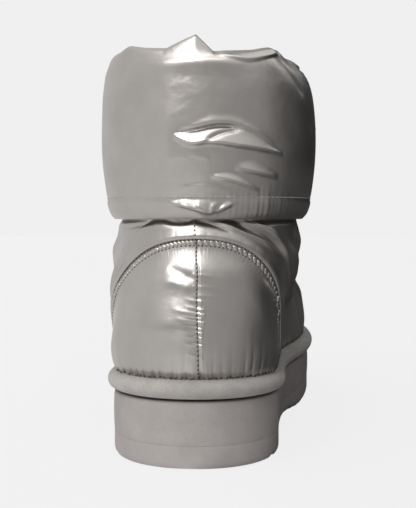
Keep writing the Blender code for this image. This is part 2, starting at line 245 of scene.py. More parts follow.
CUFF_CREASES = (
    Crease("back", ((-12.5, 140.8), (-3, 142.2), (4.5, 143.6), (10, 143.6), (17, 142.4)), 0.9, -1.7),
    Crease("back", ((16, 142.2), (11, 141.5), (6, 140.2), (2.4, 138.3), (-0.6, 136.3)), 0.8, -1.1),
    Crease("back", ((-17, 130.2), (-11, 131.0), (-6, 130.6)), 1.3, 0.14),
    Crease("back", ((-7, 132.2), (-1, 131.0), (3, 129.2)), 1.2, 0.16),
    Crease("back", ((-15, 148.0), (-9, 150.6), (-5, 151.0)), 1.8, 0.06),
    Crease("back", ((-12, 154.2), (-6, 156.6), (1, 156.2)), 2.0, 0.05),
    Crease("back", ((-14, 160.6), (-8, 161.4), (-4, 160.4)), 1.8, 0.05),
    Crease("back", ((2, 164.2), (10, 165.6), (16, 164.6)), 2.0, 0.06),
    Crease("back", ((-16, 116), (-15, 145), (-17, 174)), 5.0, 0.35),
    Crease("inner", ((-118, 175.5), (-114, 171), (-109, 165), (-103, 157)), 2.2, -0.8),
    Crease("inner", ((-122, 176), (-102, 175.5), (-74, 175.5), (-44, 175.5)), 9.0, -4.4),
    Crease("back", ((-30, 169.2), (-5, 170.6), (20, 169.2)), 4.0, 1.1, 0.5),
    Crease("back", ((-12, 112.4), (-5, 109.8), (2, 106.6)), 0.9, 0.7),
    Crease("back", ((-8, 112.4), (-3, 109.5), (2, 106.6)), 0.8, -0.4),
    Crease("back", ((-4, 112.6), (-1, 109.5), (2, 106.6)), 0.9, 0.7),
    Crease("back", ((4, 112.4), (3, 109.5), (2, 106.6)), 0.9, 0.6),
    Crease("back", ((8, 112.4), (5, 109.5), (2.4, 106.8)), 0.8, -0.4),
    Crease("back", ((12, 112.0), (7, 109.5), (2.5, 106.8)), 0.9, 0.5),
    Crease("inner", ((-54, 154), (-40, 146), (-22, 131)), 5.5, 1.8, -0.4),
    Crease("inner", ((-50, 144), (-38, 137), (-24, 125)), 3.0, -1.2),
    Crease("inner", ((-48, 170), (-32, 160), (-16, 154)), 5.0, 1.3, -0.3),
    Crease("inner", ((-54, 122), (-38, 129), (-20, 127)), 4.5, 1.2, -0.4),
    Crease("outer", ((-54, 146), (-38, 154), (-18, 148)), 5.0, 1.5, -0.4),
    Crease("outer", ((-56, 134), (-42, 129), (-20, 136)), 5.0, 1.6, -0.5),
    Crease("outer", ((-54, 127), (-40, 122), (-24, 128)), 2.8, -1.0),
    Crease("outer", ((-50, 168), (-34, 161), (-16, 164)), 5.0, 1.2, -0.3),
    Crease("front", ((-30, 152), (-8, 144), (20, 149)), 5.0, 1.7, -0.5),
    Crease("front", ((-26, 146), (-6, 137), (18, 142)), 2.8, -1.1),
    Crease("front", ((-20, 167), (2, 160), (26, 165)), 5.0, 1.2, -0.3),
    Crease("front", ((-14, 129), (8, 134), (30, 129)), 4.5, 1.2, -0.4),
)

UPPER_CREASES = (
    Crease("back", ((-40, 100.6), (-30, 102.4), (-21, 104.0)), 1.3, -1.1),
    Crease("back", ((-18, 104.2), (-12, 103.4), (-5, 104.2)), 1.1, -1.0),
    Crease("back", ((-5, 104.2), (3, 102.6), (12, 99.4)), 1.1, -1.2),
    Crease("back", ((3, 105), (13.7, 100.4), (24, 95.4), (31, 89)), 1.2, 1.0),
    Crease("back", ((8, 105.4), (19.5, 100.6), (29, 95), (35, 87)), 2.4, -1.7),
    Crease("inner", ((-119, 105), (-111, 98.4), (-104, 90.5), (-97, 80), (-93, 68)), 1.4, 2.0, -0.2),
    Crease("inner", ((-106, 92), (-97, 82), (-90, 71), (-88, 60)), 1.6, -1.3),
    Crease("inner", ((-104, 98), (-92, 87), (-84, 74), (-82, 60)), 2.2, 2.2, 0.1),
    Crease("inner", ((-96, 101), (-83, 89), (-74, 75), (-72, 60)), 2.0, -1.5),
    Crease("inner", ((-88, 103), (-73, 91), (-63, 76), (-60, 58)), 3.4, 2.2, 0.1),
    Crease("inner", ((-62, 104), (-45, 92), (-33, 78), (-28, 60)), 5.0, 2.2, 0.2),
    Crease("inner", ((-52, 102), (-36, 90), (-24, 77)), 4.5, -1.1),
    Crease("inner", ((-34, 106), (-14, 95), (4, 81), (14, 64)), 5.5, 2.0, 0.2),
    Crease("inner", ((-14, 98), (8, 85), (26, 70)), 4.8, -1.0),
    Crease("inner", ((-20, 58), (8, 62), (40, 54)), 5.0, 1.2),
    Crease("inner", ((40, 66), (60, 60), (84, 52)), 5.0, 0.8),
    Crease("outer", ((-111, 92), (-101, 83), (-95, 72), (-93, 58)), 2.0, 1.6, 0.2),
    Crease("outer", ((-103, 95), (-93, 84), (-86, 72), (-84, 58)), 2.2, -1.2),
    Crease("outer", ((-97, 99), (-84, 88), (-75, 74), (-72, 58)), 3.6, 1.9, 0.1),
    Crease("outer", ((-76, 103), (-58, 91), (-46, 76), (-44, 58)), 5.0, 2.0, 0.2),
    Crease("outer", ((-65, 102), (-49, 91), (-37, 77)), 4.5, -1.1),
    Crease("outer", ((-46, 106), (-26, 95), (-10, 80), (-4, 62)), 5.5, 2.0, 0.2),
    Crease("outer", ((-24, 100), (-2, 87), (14, 73)), 4.8, -1.0),
    Crease("outer", ((-30, 55), (2, 62), (40, 55)), 5.0, 1.2),
    Crease("outer", ((36, 64), (58, 60), (82, 52)), 5.0, 0.8),
    Crease("top", ((-30, -2), (-4, 7), (24, -4)), 5.0, 2.0, 0.3),
    Crease("top", ((-26, 7), (-2, 16), (22, 6)), 3.0, -1.3),
    Crease("top", ((-32, 16), (-2, 27), (30, 14)), 5.5, 2.0, 0.3),
    Crease("top", ((-26, 29), (0, 38), (26, 28)), 3.4, -1.2),
    Crease("top", ((-34, 38), (-4, 50), (32, 39)), 5.5, 1.6, 0.3),
    Crease("top", ((-20, 58), (6, 66), (28, 59)), 5.0, 1.0, 0.2),
    Crease("top", ((-26, 84), (-8, 92), (12, 88)), 5.0, 0.7),
)

COUNTER_CREASES = (
    Crease("back", ((-16, 84.8), (-9, 81.8), (-3.2, 78.8)), 2.4, -0.38),
    Crease("back", ((-19, 78.6), (-11, 77.4), (-3.4, 75.4)), 2.4, 0.3),
    pucker(((-4.0, 70.6), (-6.5, 71.0), (-9, 71.8)), 0.9, 0.3),
    pucker(((-3.8, 67.4), (-6.5, 68.0), (-10, 69.0)), 1.0, 0.45),
    pucker(((-3.8, 65.4), (-8.5, 66.2), (-15, 67.6)), 1.1, 0.6),
    pucker(((-3.8, 63.6), (-7, 64.0), (-10.5, 64.8)), 0.8, 0.44),
    pucker(((-3.7, 62.1), (-8, 62.7), (-13, 64.0)), 1.0, 0.58),
    pucker(((-3.7, 59.4), (-6.5, 59.9), (-9.5, 60.8)), 0.8, 0.4),
    pucker(((-3.7, 57.8), (-7.5, 58.4), (-12.5, 59.8)), 0.9, 0.58),
    pucker(((-3.6, 55.7), (-6.5, 56.1), (-10, 57.0)), 0.8, 0.44),
    pucker(((-3.6, 52.6), (-6.5, 53.1), (-9.5, 53.8)), 0.8, 0.4),
    pucker(((-3.5, 48.4), (-6, 48.9), (-8.5, 49.3)), 0.8, 0.32),
    pucker(((-2.2, 81.2), (5, 80.4), (14, 78.0)), 1.0, 0.16),
    pucker(((-2.2, 76.4), (4, 75.8), (11, 74.0)), 0.9, 0.14),
    pucker(((-2.0, 72.8), (3, 72.4), (8, 71.4)), 0.8, 0.1),
    Crease("back", ((23, 80.6), (27.4, 74), (30.6, 66)), 0.9, 0.9),
    Crease("back", ((26, 70), (29.5, 64), (31, 57)), 1.2, 0.6),
    Crease("outer", ((-112, 80), (-104, 68), (-99, 54)), 1.8, 0.4),
    Crease("back", ((-33, 56), (-17, 59), (-2, 59.5)), 7.0, 0.8),
)

rng = np.random.default_rng(seed=7)

SLOPE_STEP = 0.002
PLAN_STEP = 0.001
TINY = 1e-12


def smoothstep(share):
    share = np.clip(share, 0, 1)
    return share * share * (3 - 2 * share)


def from_low(low, share):
    """A value that climbs from low to 1 with a share."""
    return low + (1 - low) * share


def band(value, start, full, fall, end):
    """A soft-edged band of values: 1 inside it and 0 beyond its start and end."""
    return smoothstep((value - start) / (full - start)) * smoothstep((end - value) / (end - fall))


def unit(vectors):
    return vectors / np.maximum(np.linalg.norm(vectors, axis=-1, keepdims=True), TINY)


def dot(first, second):
    return np.einsum("...i,...i->...", first, second)


def hermite(t, start, leave, end, arrive):
    """A cubic curve between two values with given slopes."""
    return (
        (2 * t**3 - 3 * t**2 + 1) * start
        + (t**3 - 2 * t**2 + t) * leave
        + (3 * t**2 - 2 * t**3) * end
        + (t**3 - t**2) * arrive
    )


def chord_lengths(points):
    """Length along a line of points, at each of them."""
    return np.concatenate([[0], np.cumsum(np.linalg.norm(np.diff(points, axis=0), axis=1))])


def curve_through(points, samples):
    """Evenly spaced points on a smooth curve through a few points."""
    points = np.asarray(points, dtype=float)
    chord = chord_lengths(points)
    slope = np.gradient(points, chord, axis=0)
    at = np.linspace(0, chord[-1], samples)
    low = np.clip(np.searchsorted(chord, at, side="right") - 1, 0, len(points) - 2)
    span = (chord[low + 1] - chord[low])[:, None]
    t = (at - chord[low])[:, None] / span
    return hermite(t, points[low], slope[low] * span, points[low + 1], slope[low + 1] * span)


def toe_lift(y):
    """Height that the toe's spring adds at a station along the foot."""
    share = np.clip((y - TOE_SPRING_START) / (SOLE_LENGTH / 2 - TOE_SPRING_START), 0, 1)
    return TOE_SPRING * share**TOE_SPRING_POWER


def arch_lift(y):
    """Height of the sole's underside over the floor between heel and ball."""
    share = np.clip((y - ARCH_MIDDLE) / ARCH_HALF_LENGTH, -1, 1)
    return ARCH_RISE * np.cos(share * math.pi / 2) ** 2


def platform_top(y):
    """Height of the platform's upper face at a station along the foot."""
    heel_y = -SOLE_LENGTH / 2
    fall = (PLATFORM_BALL - PLATFORM_HEEL) / (MEDIAL_BALL - heel_y)
    return PLATFORM_HEEL + fall * (y - heel_y) + toe_lift(y)


def end_cap(distance, length, power):
    """Share of the full width near a section's end: 0 at the end, 1 from the cap's length on."""
    short = np.clip(1 - distance / length, 0, 1)
    return (1 - short**power) ** (1 / power)


def section_points(row, turns):
    """Points of a section's closed line. Turn 0 is the heel, 0.25 the inner side, 0.5 the toe."""
    y_back, y_front = row.y_back * MM, row.y_front * MM
    share = (1 - np.cos(2 * math.pi * turns)) / 2
    y = y_back + (y_front - y_back) * share
    medial = np.sin(2 * math.pi * turns) >= 0
    ball_y = np.where(medial, MEDIAL_BALL, LATERAL_BALL)
    ball_half = np.where(medial, row.medial_half, row.lateral_half) * MM
    rear_half = row.rear_half * MM
    widen = smoothstep((y - REAR_STATION) / (ball_y - REAR_STATION))
    waist = row.waist * MM * np.exp(-(((y - WAIST_STATION) / WAIST_LENGTH) ** 2))
    half = rear_half + (ball_half - rear_half) * widen - np.where(medial, waist, 0)
    half = half * end_cap(y - y_back, row.back_cap * MM, BACK_POWER)
    half = half * end_cap(y_front - y, row.front_cap * MM, FRONT_POWER)
    swing = TOE_SWING * smoothstep((y - SWING_START) / SWING_LENGTH)
    x = HEEL_X + row.x_shift * MM + swing + np.where(medial, half, -half)
    z = (row.z_back + (row.z_front - row.z_back) * share) * MM + row.spring * toe_lift(y)
    return np.stack([x, y, z], axis=-1)


def section_at(levels):
    """The sections at fractional rows of the table, on Catmull-Rom curves through its rows."""
    rows = np.array(UPPER_SECTIONS)
    low = np.clip(np.floor(levels).astype(int), 0, TOP_LEVEL - 1)
    before, start = rows[np.maximum(low - 1, 0)], rows[low]
    end, after = rows[low + 1], rows[np.minimum(low + 2, TOP_LEVEL)]
    value = hermite((levels - low)[..., None], start, (end - before) / 2, end, (after - start) / 2)
    return Section(*np.moveaxis(value, -1, 0))


def upper_points(turns, levels, out=0.0, sideways=False):
    """Points on the upper's outer face, moved outwards along its normal, or level with the floor."""
    normal = upper_normals(turns, levels)
    if sideways:
        normal[..., 2] = 0
        normal = unit(normal)
    return section_points(section_at(levels), turns) + np.asarray(out)[..., None] * normal


def upper_normals(turns, levels):
    """Outward unit normals of the upper's smooth outer face."""
    ahead = section_points(section_at(levels), turns + SLOPE_STEP)
    behind = section_points(section_at(levels), turns - SLOPE_STEP)
    over = section_points(section_at(np.minimum(levels + SLOPE_STEP, TOP_LEVEL)), turns)
    under = section_points(section_at(np.maximum(levels - SLOPE_STEP, 0)), turns)
    return unit(np.cross(ahead - behind, over - under))


def upper_face(turns, levels):
    """Points of the upper's outer face and its normals there."""
    return upper_points(turns, levels), upper_normals(turns, levels)


def levels_at_height(turns, heights):
    """Table positions where the upper passes the given heights at the given turns."""
    low = np.zeros(np.broadcast(turns, heights).shape)
    high = low + TOP_LEVEL
    for _ in range(HALVINGS):
        middle = (low + high) / 2
        under = section_points(section_at(middle), turns)[..., 2] < heights
        low, high = np.where(under, middle, low), np.where(under, high, middle)
    return (low + high) / 2


def plan_outline(inset, turns):
    """The sole's outline in plan, moved inwards by a distance."""
    steps = (0, PLAN_STEP, -PLAN_STEP)
    line, ahead, behind = (section_points(SOLE_PLAN, turns + step)[:, :2] for step in steps)
    along = ahead - behind
    return line - inset * unit(np.stack([along[:, 1], -along[:, 0]], axis=-1))


def around(count):
    """Turns at even steps round the foot."""
    return np.arange(count) / count


def rand_top(turns):
    """Height of the rand's upper edge round the foot."""
    return platform_top(section_points(SOLE_PLAN, turns)[..., 1]) + RAND_HEIGHT


def counter_top(turns):
    """Height of the arched seam over the counter."""
    share = (turns - COUNTER_MIDDLE_TURN) / COUNTER_HALF_TURN
    fall = COUNTER_ROUNDNESS * share**2 + (1 - COUNTER_ROUNDNESS) * share**4
    return COUNTER_APEX + (COUNTER_FOOT - COUNTER_APEX) * fall


def seam_turn(up):
    """Place of the centre-back seam round the foot, at a share of its way from rand to arch."""
    return SEAM_FOOT_TURN + (SEAM_APEX_TURN - SEAM_FOOT_TURN) * up**2


def cuff_hem(turns):
    """Height of the cuff's hem: level at the back and sides, higher where the shaft meets the instep."""
    forward = (1 - np.cos(2 * math.pi * turns)) / 2
    return CUFF_HEM + CUFF_HEM_FRONT_RISE * smoothstep(2 * forward - 1)


def grid_normals(points):
    """Outward unit normals of a closed grid whose rows go up and whose columns go round."""
    along, up = (np.roll(points, -1, axis) - np.roll(points, 1, axis) for axis in (1, 0))
    return unit(np.cross(along, up))


# Relief of the cloth: creases, folds, gathers and a slow swell.

CREASE_SAMPLES = 40
CREASE_LEAST = 4
CREASE_FACING = 0.12
CREASE_TAPER = 0.28
CREASE_FALL = 1.6
CREASE_REACH = 3.2
CREASE_RUNOUT = 1.6
CREASE_SNAP = 2.5 * MM
LINE_SMOOTHING = 12
PUCKER_FADE = 1.3
PUCKER_START_WIDTH = 0.6
FOLD_FACING = 0.1
FOLD_TAPER = 0.6
FOLD_CLIMB = 1.4
FOLD_LEAST = 0.4
FOLD_DROP_START = 0.25
WAVE_SPARE = 4
WAVE_PITCHES = (0.65, 1.35)
WAVE_HEIGHTS = (0.45, 1.0)
WAVE_ROUNDNESS = 0.8
SWELL_WAVES = 5
SWELL_LENGTHS = (0.7, 1.3)


def crease_line(crease, points, normals):
    """Points of a crease on a surface, and how far along it they are: those that the surface reaches."""
    first, second, toward = SIDES[crease.side]
    wanted = curve_through(crease.line, CREASE_SAMPLES) * MM
    share = np.linspace(0, 1, CREASE_SAMPLES)
    facing = points[normals @ toward > CREASE_FACING]
    if not len(facing):
        return facing, share[:0]
    far = np.hypot(facing[:, first, None] - wanted[:, 0], facing[:, second, None] - wanted[:, 1])
    line = facing[far.argmin(axis=0)]
    line[:, first], line[:, second] = wanted[:, 0], wanted[:, 1]
    reached = far.min(axis=0) < CREASE_SNAP
    line, share = line[reached], share[reached]
    depth = line[:, 3 - first - second]
    for _ in range(LINE_SMOOTHING):
        depth[1:-1] = (depth[:-2] + 2 * depth[1:-1] + depth[2:]) / 4
    return line, share


def crease_relief(points, normals, creases):
    """How far each point of a surface moves out for its creases."""
    flat, outward = points.reshape(-1, 3), normals.reshape(-1, 3)
    moved = np.zeros(len(flat))
    for crease in creases:
        line, share = crease_line(crease, flat, outward)
        if len(line) < CREASE_LEAST:
            continue
        reach = CREASE_REACH * crease.width * (1 + abs(crease.lean)) * MM
        near = np.all((flat > line.min(axis=0) - reach) & (flat < line.max(axis=0) + reach), axis=1)
        moved[near] += crease.rise * MM * crease_height(crease, line, share, flat[near], outward[near])
    return moved.reshape(points.shape[:-1])


def crease_height(crease, line, share, points, normals):
    """Share of a crease's height at points near its line."""
    if crease.pucker:
        fade, spread = (1 - share) ** PUCKER_FADE, PUCKER_START_WIDTH + share
    else:
        fade = smoothstep(share / CREASE_TAPER) * smoothstep((1 - share) / CREASE_TAPER)
        spread = np.ones(len(line))
    along = np.gradient(line, axis=0)
    spacing = np.linalg.norm(along, axis=1)
    along /= spacing[:, None]
    nearest = np.linalg.norm(points[:, None] - line, axis=2).argmin(axis=1)
    gap = points - line[nearest]
    ahead = dot(gap, along[nearest])
    at = nearest + np.clip(ahead / spacing[nearest], -0.5, 0.5)
    fade, spread = (np.interp(at, np.arange(len(line)), value) for value in (fade, spread))
    gap -= along[nearest] * ahead[:, None]
    gap -= normals * dot(gap, normals)[:, None]
    side = np.sign(dot(np.cross(along[nearest], normals), gap))
    away = np.linalg.norm(gap, axis=1) / (crease.width * MM * (1 + crease.lean * side) * spread)
    return (1 + away**2) ** -CREASE_FALL * smoothstep((CREASE_REACH - away) / CREASE_RUNOUT) * fade


def fold_relief(points, normals, folds):
    """How far each point of a surface moves out for its folds."""
    moved = np.zeros(points.shape[:-1])
    first, second, toward = SIDES["back"]
    across, up = points[..., first] / MM, points[..., second] / MM
    for fold in folds:
        top, crest = (curve_through(line, CREASE_SAMPLES).T for line in (fold.top, fold.crest))
        upper, lower = np.interp(across, *top), np.interp(across, *crest)
        along = np.clip((across - crest[0, 0]) / (crest[0, -1] - crest[0, 0]), 0, 1)
        taper = np.sin(math.pi * along) ** FOLD_TAPER * (normals @ toward > FOLD_FACING)
        climb = np.clip((upper - up) / np.maximum(upper - lower, FOLD_LEAST), 0, 1) ** FOLD_CLIMB
        fall = 1 - smoothstep((lower - up) / fold.drop + FOLD_DROP_START)
        moved += fold.rise * MM * taper * climb * fall
    return moved


def uneven_wave(length, pitch, samples):
    """Rounded puckers along a line: values from 0 to 1, of uneven pitch and height."""
    count = max(WAVE_SPARE, int(length / pitch)) + WAVE_SPARE
    starts = np.concatenate([[0], np.cumsum(pitch * rng.uniform(*WAVE_PITCHES, count))])
    heights = rng.uniform(*WAVE_HEIGHTS, len(starts))
    at = np.linspace(0, min(length, starts[-2]), samples)
    low = np.searchsorted(starts, at, side="right") - 1
    inside = (at - starts[low]) / (starts[low + 1] - starts[low])
    return heights[low] * np.sin(math.pi * inside) ** WAVE_ROUNDNESS


# Gathers along an edge, in millimetres. Middle is the share of their height that lies level with the
# cloth around them, and fade the distance over which they run out.
Gathers = namedtuple("Gathers", "pitch height middle fade", defaults=(0,))


def gathered(kind, length, samples):
    """How far gathers stand out along an edge."""
    return kind.height * MM * (uneven_wave(length, kind.pitch * MM, samples) - kind.middle)


Wave = namedtuple("Wave", "direction phase")


def slow_waves(length):
    """A few crossing waves of about a given length, for the unevenness of stuffed cloth."""
    waves = []
    for _ in range(SWELL_WAVES):
        direction = rng.normal(size=3)
        span = np.linalg.norm(direction) * length * rng.uniform(*SWELL_LENGTHS)
        waves.append(Wave(direction * 2 * math.pi / span, rng.random() * 2 * math.pi))
    return waves


def swell(points, waves):
    """Height of the waves' sum at points, from -1 to 1."""
    return sum(np.sin(points @ wave.direction + wave.phase) for wave in waves) / len(waves)


def nearest_on(line, points):
    """Distance of points from a line, and the index of the line's nearest point."""
    tree = KDTree(len(line))
    for index, place_on_line in enumerate(line):
        tree.insert(place_on_line, index)
    tree.balance()
    found = [tree.find(point)[1:] for point in points.reshape(-1, 3)]
    index, distance = (np.array(values).reshape(points.shape[:-1]) for values in zip(*found))
    return distance, index


# Pieces as meshes.


def grid_faces(rows, columns, wrap_rows, wrap_columns):
    low, left = np.meshgrid(
        np.arange(rows if wrap_rows else rows - 1),
        np.arange(columns if wrap_columns else columns - 1),
        indexing="ij",
    )
    high, right = (low + 1) % rows, (left + 1) % columns
    corners = [low * columns + left, low * columns + right, high * columns + right, high * columns + left]
    return np.stack(corners, axis=-1).reshape(-1, 4).tolist()


def add_to_scene(name, data):
    made = bpy.data.objects.new(name, data)
    bpy.context.scene.collection.objects.link(made)
    return made


def new_piece(name, points, faces, material):
    """A smooth mesh object."""
    mesh = bpy.data.meshes.new(name)
    mesh.from_pydata(np.asarray(points).reshape(-1, 3).tolist(), [], faces)
    mesh.materials.append(material)
    mesh.shade_smooth()
    return add_to_scene(name, mesh)


def tube_piece(name, rows, material):
    """A closed ring-shaped piece from rows of points that go up its outside and down its inside."""
    rows = np.asarray(rows)
    return new_piece(name, rows, grid_faces(*rows.shape[:2], True, True), material)


def strip_piece(name, rows, material):
    """A closed strip from rows of points that go over its face and back along its other side."""
    count, columns = rows.shape[:2]
    faces = grid_faces(count, columns, True, False)
    left = np.arange(count) * columns
    faces += [left.tolist(), (left + columns - 1)[::-1].tolist()]
    return new_piece(name, rows, faces, material)


def capped_piece(name, rings, material):
    """A solid through closed rings, with its ends closed in strips across its width."""
    rings = np.asarray(rings)
    count = rings.shape[1]
    faces = grid_faces(len(rings), count, False, True)
    last = (len(rings) - 1) * count
    for i in range(count // 2):
        loop = list(dict.fromkeys([i, i + 1, count - i - 1, (count - i) % count]))
        faces += [loop[::-1], [last + k for k in loop]]
    return new_piece(name, rings, faces, material)


def place(piece, slot, *nodes, fill=None):
    """Puts a piece on the boot. The fill, for a padded piece, is not used."""
    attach(piece, "root")
    if nodes:
        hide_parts(*nodes)
    return piece


# Materials.

THREAD_BANDS = 3.2


def add_node(tree, kind, inputs, **settings):
    """A new shader node. An input that is given a socket is linked to it, and any other is set."""
    node = tree.nodes.new("ShaderNode" + kind)
    for name, value in settings.items():
        setattr(node, name, value)
    for name, value in inputs.items():
        if isinstance(value, bpy.types.NodeSocket):
            tree.links.new(value, node.inputs[name])
        else:
            node.inputs[name].default_value = value
    return node


class Finish:
    """A node material round its Principled shader, laid out by the piece's own coordinates."""

    def __init__(self, name, **inputs):
        self.material = bpy.data.materials.new(name)
        self.material.use_nodes = True
        self.tree = self.material.node_tree
        self.shader = self.tree.nodes["Principled BSDF"]
        self.place = add_node(self.tree, "TexCoord", {}).outputs["Object"]
        for socket, value in inputs.items():
            self.shader.inputs[socket.replace("_", " ").title()].default_value = value

    def drive(self, name, value):
        self.tree.links.new(value, self.shader.inputs[name])

    def noise(self, size, detail=3.0, rough=0.55):
        inputs = {"Scale": 1 / size, "Detail": detail, "Roughness": rough, "Vector": self.place}
        return add_node(self.tree, "TexNoise", inputs).outputs["Fac"]

    def threads(self, size, axis, unevenness):
        inputs = {"Scale": 1 / (size * THREAD_BANDS), "Distortion": unevenness, "Vector": self.place}
        return add_node(self.tree, "TexWave", inputs, bands_direction=axis).outputs["Fac"]

    def combine(self, first, second, share):
        inputs = {"Factor": share, "A": first, "B": second}
        return add_node(self.tree, "Mix", inputs).outputs["Result"]

    def colours(self, value, dark, light, low=0.3, high=0.7):
        node = add_node(self.tree, "ValToRGB", {"Fac": value})
        for stop, position, colour in zip(node.color_ramp.elements, (low, high), (dark, light)):
            stop.position, stop.color = position, (*colour, 1)
        self.drive("Base Color", node.outputs["Color"])

    def gloss(self, value, smooth, dull, low=0.3, high=0.7):
        inputs = {"Value": value, "From Min": low, "From Max": high, "To Min": smooth, "To Max": dull}
        self.drive("Roughness", add_node(self.tree, "MapRange", inputs).outputs["Result"])

    def bump(self, value, depth, strength):
        inputs = {"Height": value, "Distance": depth, "Strength": strength}
        self.drive("Normal", add_node(self.tree, "Bump", inputs).outputs["Normal"])


def silver_nylon():
    """Metallic coated nylon: fine grain, faint crumple and a soft, uneven gloss."""
    made = Finish("silver_nylon", metallic=0.94, coat_weight=0.12, coat_roughness=0.25)
    made.colours(made.noise(22 * MM), dark=(0.385, 0.363, 0.345), light=(0.445, 0.420, 0.399))
    made.gloss(made.noise(14 * MM), smooth=0.29, dull=0.37)
    grain = made.noise(0.8 * MM, detail=1.0)
    crumple = made.noise(7 * MM, detail=2.0)
    made.bump(made.combine(crumple, grain, share=0.03), depth=0.5 * MM, strength=0.4)
    return made.material


def grey_suede():
    """Brushed suede: short nap, slightly mottled."""
    made = Finish("grey_suede", roughness=0.95, sheen_weight=0.25, sheen_roughness=0.5)
    nap = made.noise(0.7 * MM, detail=4.0, rough=0.7)
    mottle = made.combine(made.noise(9 * MM), nap, share=0.55)
    made.colours(mottle, dark=(0.275, 0.257, 0.244), light=(0.445, 0.418, 0.398))
    made.bump(nap, depth=0.5 * MM, strength=0.8)
    return made.material


def taupe_foam(name, dark, light, roughness):
    """Moulded foam or rubber: fine pebbled skin with a faint mottle."""
    made = Finish(name, roughness=roughness)
    pebble = made.noise(0.9 * MM, detail=3.0, rough=0.6)
    mottle = made.noise(12 * MM, detail=4.0, rough=0.6)
    made.colours(made.combine(mottle, pebble, share=0.35), dark, light)
    made.bump(pebble, depth=0.18 * MM, strength=0.6)
    return made.material


def grey_fleece():
    """Curly pile."""
    made = Finish("grey_fleece", roughness=1.0, sheen_weight=0.4, sheen_roughness=0.6)
    curls = made.noise(2.2 * MM, detail=5.0, rough=0.7)
    made.colours(curls, dark=(0.25, 0.245, 0.24), light=(0.50, 0.49, 0.475))
    made.bump(curls, depth=1.5 * MM, strength=1.0)
    return made.material


def thread(name, dark, light):
    """Twisted polyester thread."""
    made = Finish(name, roughness=0.45, metallic=0.35)
    made.colours(made.noise(0.6 * MM), dark, light)
    twist = made.threads(0.35 * MM, "DIAGONAL", unevenness=0.6)
    made.bump(twist, depth=0.08 * MM, strength=0.7)
    return made.material


# The cuff.

CUFF_GIRTH = 300 * MM
CUFF_SWELL = 0.5 * MM
CUFF_SWELL_LENGTH = 34 * MM
CUFF_BODY = (HEM_LINE_SHARE, 0.246, 0.87, 0.97)
HEM_GATHERS = Gathers(2.1, 0.45, 0.3)
HEM_BUNCH_PITCH = 9 * MM
HEM_BUNCH_LOW = 0.3
HEM_OUTER_SHARE = 0.35
HEM_INNER_RISE = 2.4
HEM_BELOW = (0, 0.03, 0.10, 0.15)
HEM_ABOVE = (0.12, 0.14, 0.13, 0.22)
HEM_ABOVE_SHARE = 0.7


def build_cuff(material):
    """The folded cuff: full and crumpled, with a stitched hem below and a peak at the back."""
    turns = around(CUFF_AROUND)
    hem = cuff_hem(turns)
    peak = np.interp((turns + 0.5) % 1 - 0.5, *zip(*RIM_LINE)) * MM
    tall = (CUFF_RIM - CUFF_HEM) / MM
    outline = curve_through([(p.out, p.height * tall, p.peak) for p in CUFF_OUTLINE], CUFF_ROWS)
    outline[:, 1] /= tall
    out, height, follows = np.hsplit(np.concatenate([outline, CUFF_BACK]), 3)
    heights = hem + height * (CUFF_RIM + np.clip(follows, 0, 1) * peak - hem)
    rows = upper_points(turns, levels_at_height(turns, heights), out * MM, sideways=True)
    rows[..., 2] = heights
    normals = grid_normals(rows)
    rim = int(np.argmax(height > RIM_FROM))
    face, outward, height = rows[:rim], normals[:rim], height[:rim]
    moved = crease_relief(face, outward, CUFF_CREASES) + fold_relief(face, outward, CUFF_FOLDS)
    moved += CUFF_SWELL * swell(face, slow_waves(CUFF_SWELL_LENGTH)) * band(height, *CUFF_BODY)
    gathers = uneven_wave(CUFF_GIRTH, HEM_GATHERS.pitch * MM, CUFF_AROUND)
    gathers *= from_low(HEM_BUNCH_LOW, uneven_wave(CUFF_GIRTH, HEM_BUNCH_PITCH, CUFF_AROUND))
    stronger = from_low(HEM_OUTER_SHARE, smoothstep(np.sin(2 * math.pi * turns) * HEM_INNER_RISE))
    near_hem = band(height, *HEM_BELOW) + HEM_ABOVE_SHARE * band(height, *HEM_ABOVE)
    moved += HEM_GATHERS.height * MM * (gathers - HEM_GATHERS.middle) * stronger * near_hem
    shift = outward * moved[..., None]
    rows[:rim] += shift
    rows[rim:CUFF_ROWS] += shift[-1]
    place(tube_piece("boot_cuff", rows, material), "shell", "cuff", fill=0.75)
    return rows, normals


# Foot and shaft.

FOOT_GIRTH = 620 * MM
RAND_GATHERS = Gathers(3.4, 1.0, 0.4, 5.0)
RAND_GATHER_START = 3 * MM
UPPER_SWELL = 0.9 * MM
UPPER_SWELL_LENGTH = 46 * MM
UPPER_SWELL_RISE = 12 * MM
UPPER_SUNK = 1.7 * MM
UNDER_CUFF_START = 1 * MM
UNDER_CUFF_RISE = 6 * MM
UNDER_CUFF_SUNK = 0.4 * MM
INNER_ROWS = 14
INNER_SHARE = 0.9
DEEPEST_FOLD = 2.4 * MM
HEM_GAP = 1.5 * MM
HEM_GAP_HEIGHT = 1.7 * MM
COVER_FADE = 1.5 * MM
COVER_START = 0.3
LIP_REACH = 12 * MM
LIP_FADE = 4 * MM
LIP_END_SHARE = 0.15
LIP_END_LENGTH = 0.22
ARCH_OVERRUN = 1.008
ARCH_OUT = 1 * MM

Cloth = namedtuple("Cloth", "waves gathers")


